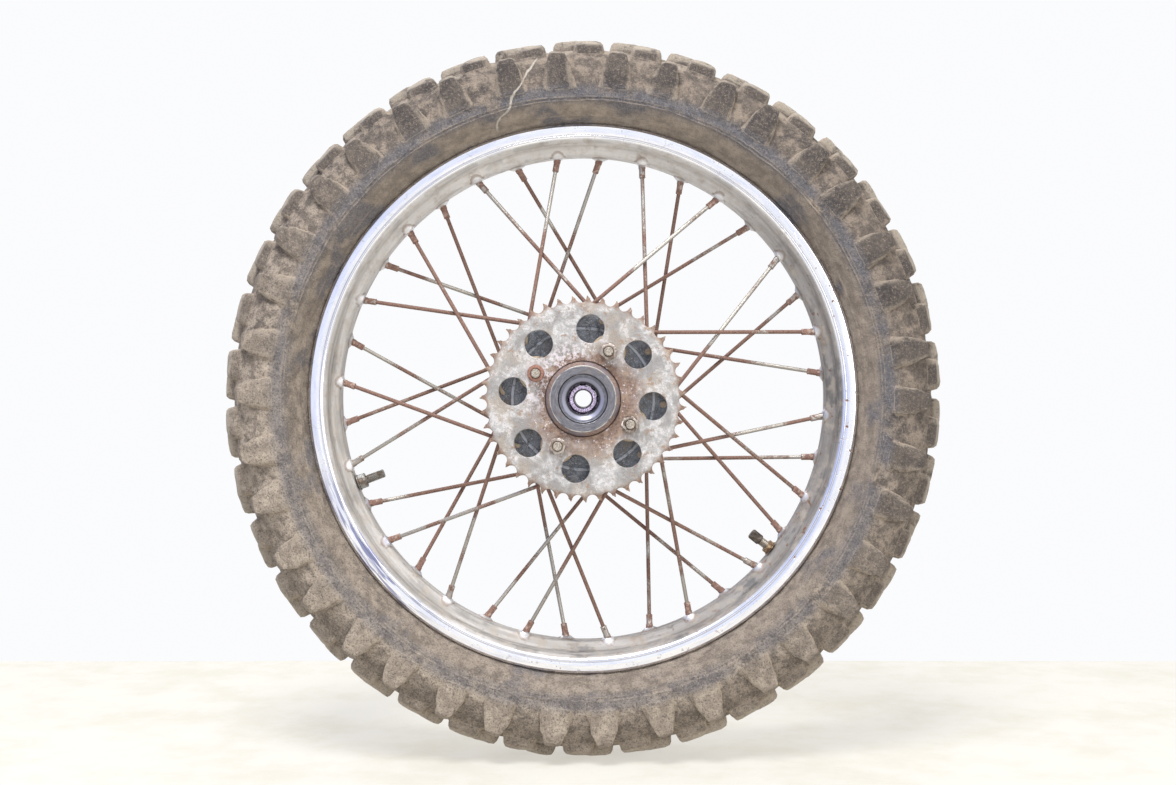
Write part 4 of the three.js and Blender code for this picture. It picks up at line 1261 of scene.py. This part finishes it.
def build_stage():
    """A pale floor that ends a short way behind the wheel and fades to white elsewhere, under soft light."""
    floor_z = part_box("tyre")[0].z - 0.0008
    mesh = bpy.data.meshes.new("floor")
    reach = 6.0
    corners = [(-reach, -reach), (reach, -reach), (reach, reach), (-reach, reach)]
    mesh.from_pydata([(x, y, floor_z) for x, y in corners], [], [(0, 1, 2, 3)])
    floor = bpy.data.objects.new("floor", mesh)
    bpy.context.scene.collection.objects.link(floor)
    look = Look("floor_pale")
    _, y, _ = look.parts()
    scuffs = look.noise(90, 6, 0.7)
    marks = look.times(look.span(look.noise(5, 5, 0.7), 0.62, 0.7), look.span(look.noise(60, 2), 0.5, 0.6))
    base = look.mix(look.span(scuffs, 0.4, 0.7), colour(246, 243, 235), colour(238, 234, 222))
    base = look.mix(look.times(marks, 0.25), base, colour(196, 186, 168))
    look.finish(look.mix(0.1, base, colour(150, 140, 120)), 0.75, specular=0.2)
    edge = look.math("ADD", 0.46, look.times(look.math("SUBTRACT", look.noise(140, 3), 0.5), 0.01))
    distance = look.node("ShaderNodeVectorMath", operation="LENGTH")
    look.feed(distance.inputs[0], look.place)
    beyond = look.math("MAXIMUM", look.math("GREATER_THAN", y, edge), look.span(distance.outputs["Value"], 0.95, 1.9))
    white, mixer = look.node("ShaderNodeEmission"), look.node("ShaderNodeMixShader")
    look.feed(white.inputs[0], look.mix(beyond, base, BACKDROP))
    look.feed(mixer.inputs[0], look.math("MAXIMUM", beyond, 0.62))
    look.tree.links.new(look.shader.outputs[0], mixer.inputs[1])
    look.tree.links.new(white.outputs[0], mixer.inputs[2])
    look.tree.links.new(mixer.outputs[0], look.output.inputs["Surface"])
    mesh.materials.append(look.material)

    world = bpy.data.worlds.new("studio")
    bpy.context.scene.world = world
    world.use_nodes = True
    nodes, links = world.node_tree.nodes, world.node_tree.links
    nodes.clear()
    output = nodes.new("ShaderNodeOutputWorld")
    seen, light, mixer = nodes.new("ShaderNodeBackground"), nodes.new("ShaderNodeBackground"), nodes.new("ShaderNodeMixShader")
    path, coords, split = nodes.new("ShaderNodeLightPath"), nodes.new("ShaderNodeTexCoord"), nodes.new("ShaderNodeSeparateXYZ")
    seen.inputs[0].default_value = (*BACKDROP, 1)
    links.new(coords.outputs["Generated"], split.inputs[0])

    def ramp(axis, stops):
        share, made = nodes.new("ShaderNodeMapRange"), nodes.new("ShaderNodeValToRGB")
        share.inputs["From Min"].default_value = -1
        links.new(split.outputs[axis], share.inputs["Value"])
        links.new(share.outputs[0], made.inputs[0])
        elements = made.color_ramp.elements
        while len(elements) < len(stops):
            elements.new(0.5)
        for element, (place, tint) in zip(elements, stops):
            element.position = place
            element.color = (*tint, 1)
        return made.outputs[0]

    height = ramp("Z", [(0.0, (0.5, 0.49, 0.46)), (0.4, (0.6, 0.59, 0.58)), (0.47, (0.86, 0.88, 0.94)),
                        (0.52, (1.0, 1.01, 1.04)), (0.6, (0.84, 0.87, 0.95)), (0.74, (1.1, 1.1, 1.12)),
                        (1.0, (1.3, 1.3, 1.32))])
    sideways = ramp("X", [(0.0, (0.5, 0.58, 0.9)), (0.3, (0.78, 0.82, 0.98)), (0.5, (1.0, 1.0, 1.0)), (1.0, (1.06, 1.04, 1.0))])
    product = nodes.new("ShaderNodeMix")
    product.data_type, product.blend_type = "RGBA", "MULTIPLY"
    product.inputs["Factor"].default_value = 1
    links.new(height, product.inputs[6])
    links.new(sideways, product.inputs[7])
    behind = nodes.new("ShaderNodeMix")
    behind.data_type, behind.blend_type = "RGBA", "MULTIPLY"
    links.new(path.outputs["Is Glossy Ray"], behind.inputs["Factor"])
    links.new(product.outputs[2], behind.inputs[6])
    links.new(ramp("Y", [(0.0, (1, 1, 1)), (0.6, (1, 1, 1)), (0.86, (0.66, 0.65, 0.64)), (1.0, (0.56, 0.55, 0.54))]),
              behind.inputs[7])
    links.new(behind.outputs[2], light.inputs[0])
    strength = nodes.new("ShaderNodeMapRange")
    strength.inputs["To Min"].default_value, strength.inputs["To Max"].default_value = 0.61, 1.08
    links.new(path.outputs["Is Glossy Ray"], strength.inputs["Value"])
    links.new(strength.outputs[0], light.inputs[1])
    links.new(path.outputs["Is Camera Ray"], mixer.inputs[0])
    links.new(light.outputs[0], mixer.inputs[1])
    links.new(seen.outputs[0], mixer.inputs[2])
    links.new(mixer.outputs[0], output.inputs[0])

    def area(name, place, size, power):
        lamp = bpy.data.lights.new(name, "AREA")
        lamp.size, lamp.energy = size, power
        made = bpy.data.objects.new(name, lamp)
        made.location = place
        made.rotation_euler = (-Vector(place)).to_track_quat("-Z", "Y").to_euler()
        bpy.context.scene.collection.objects.link(made)

    area("key", (-0.35, -1.25, 2.3), 1.0, 72)
    area("fill", (1.6, -1.9, 0.5), 1.4, 15)
    area("back", (-0.9, 2.0, 1.3), 1.6, 14)


def build_camera():
    data = bpy.data.cameras.new("camera")
    camera = bpy.data.objects.new("camera", data)
    bpy.context.scene.collection.objects.link(camera)
    data.sensor_width, data.lens = 36, 45.3
    camera.location = (0.0043, MID_PLANE - 1.33, 0.0055)
    camera.rotation_euler = (math.pi / 2, 0, 0)
    bpy.context.scene.camera = camera


# ---- Assembly --------------------------------------------------------------------------------------

bpy.context.scene.view_settings.view_transform = "Standard"

build_tyre(tyre_look())
build_tube_and_band(plain_rubber("tube_black_rubber", colour(34, 34, 36), colour(70, 67, 64)))
build_rim(chrome_look())
wire_looks = [rusty_metal(f"spoke_rusty_zinc_{k + 1}", colour(186, 180, 171), colour(144, 112, 99), share, size=42,
                          heads=colour(186, 172, 150)) for k, share in enumerate((0.25, 0.52, 0.85))]
nipple_looks = [rusty_metal("nipple_rust", colour(190, 176, 166), colour(154, 120, 107), 0.85, size=10,
                            light=colour(202, 180, 166)),
                rusty_metal("nipple_zinc", colour(186, 178, 170), colour(146, 114, 100), 0.45, size=6)]
for k, one in enumerate(spoke_list()):
    build_spoke(one, wire_looks[(k * 7 + k // 5) % 3], nipple_looks[(k * 5 + k // 4) % 3 // 2])
build_hub(hub_look())
build_drum_liner(turned_metal("drum_worn_iron", colour(92, 84, 78), colour(140, 134, 128)))
build_sprocket(sprocket_look())
build_sprocket_nuts()
bearing_steel = turned_metal("bearing_bright_steel", colour(150, 152, 156), colour(196, 198, 202), rough=0.22)
# The light colours given here are the painted highlights on the grease.
grease = greasy_look("bearing_grease", colour(30, 20, 38), colour(226, 208, 242), 0.0089, 0.0115)
dark_grease = greasy_look("bearing_grease_dark", colour(24, 19, 28), colour(186, 172, 204), 0.0122, 0.0131)
build_bearing("sprocket", -51.3, bearing_steel, grease, dark_grease)
build_bearing("drum", 19.3, bearing_steel, bearing_steel, dark_grease)
build_seal(seal_look())
build_distance_tube(turned_metal("distance_tube_steel", colour(120, 118, 112), colour(160, 158, 150)))
build_valve(rusty_metal("valve_nut_brass", colour(184, 158, 124), colour(128, 102, 80), 0.55, size=5),
            rusty_metal("valve_cap_dark_metal", colour(96, 88, 80), colour(70, 60, 52), 0.4, size=6,
                        light=colour(132, 124, 114)))
lock_steel = rusty_metal("lock_dull_zinc", colour(160, 156, 150), colour(116, 100, 86), 0.45, size=7)
build_rim_lock(lock_steel, rusty_metal("lock_nut_zinc", colour(172, 170, 166), colour(128, 112, 98), 0.35, size=8))
build_stage()
build_camera()
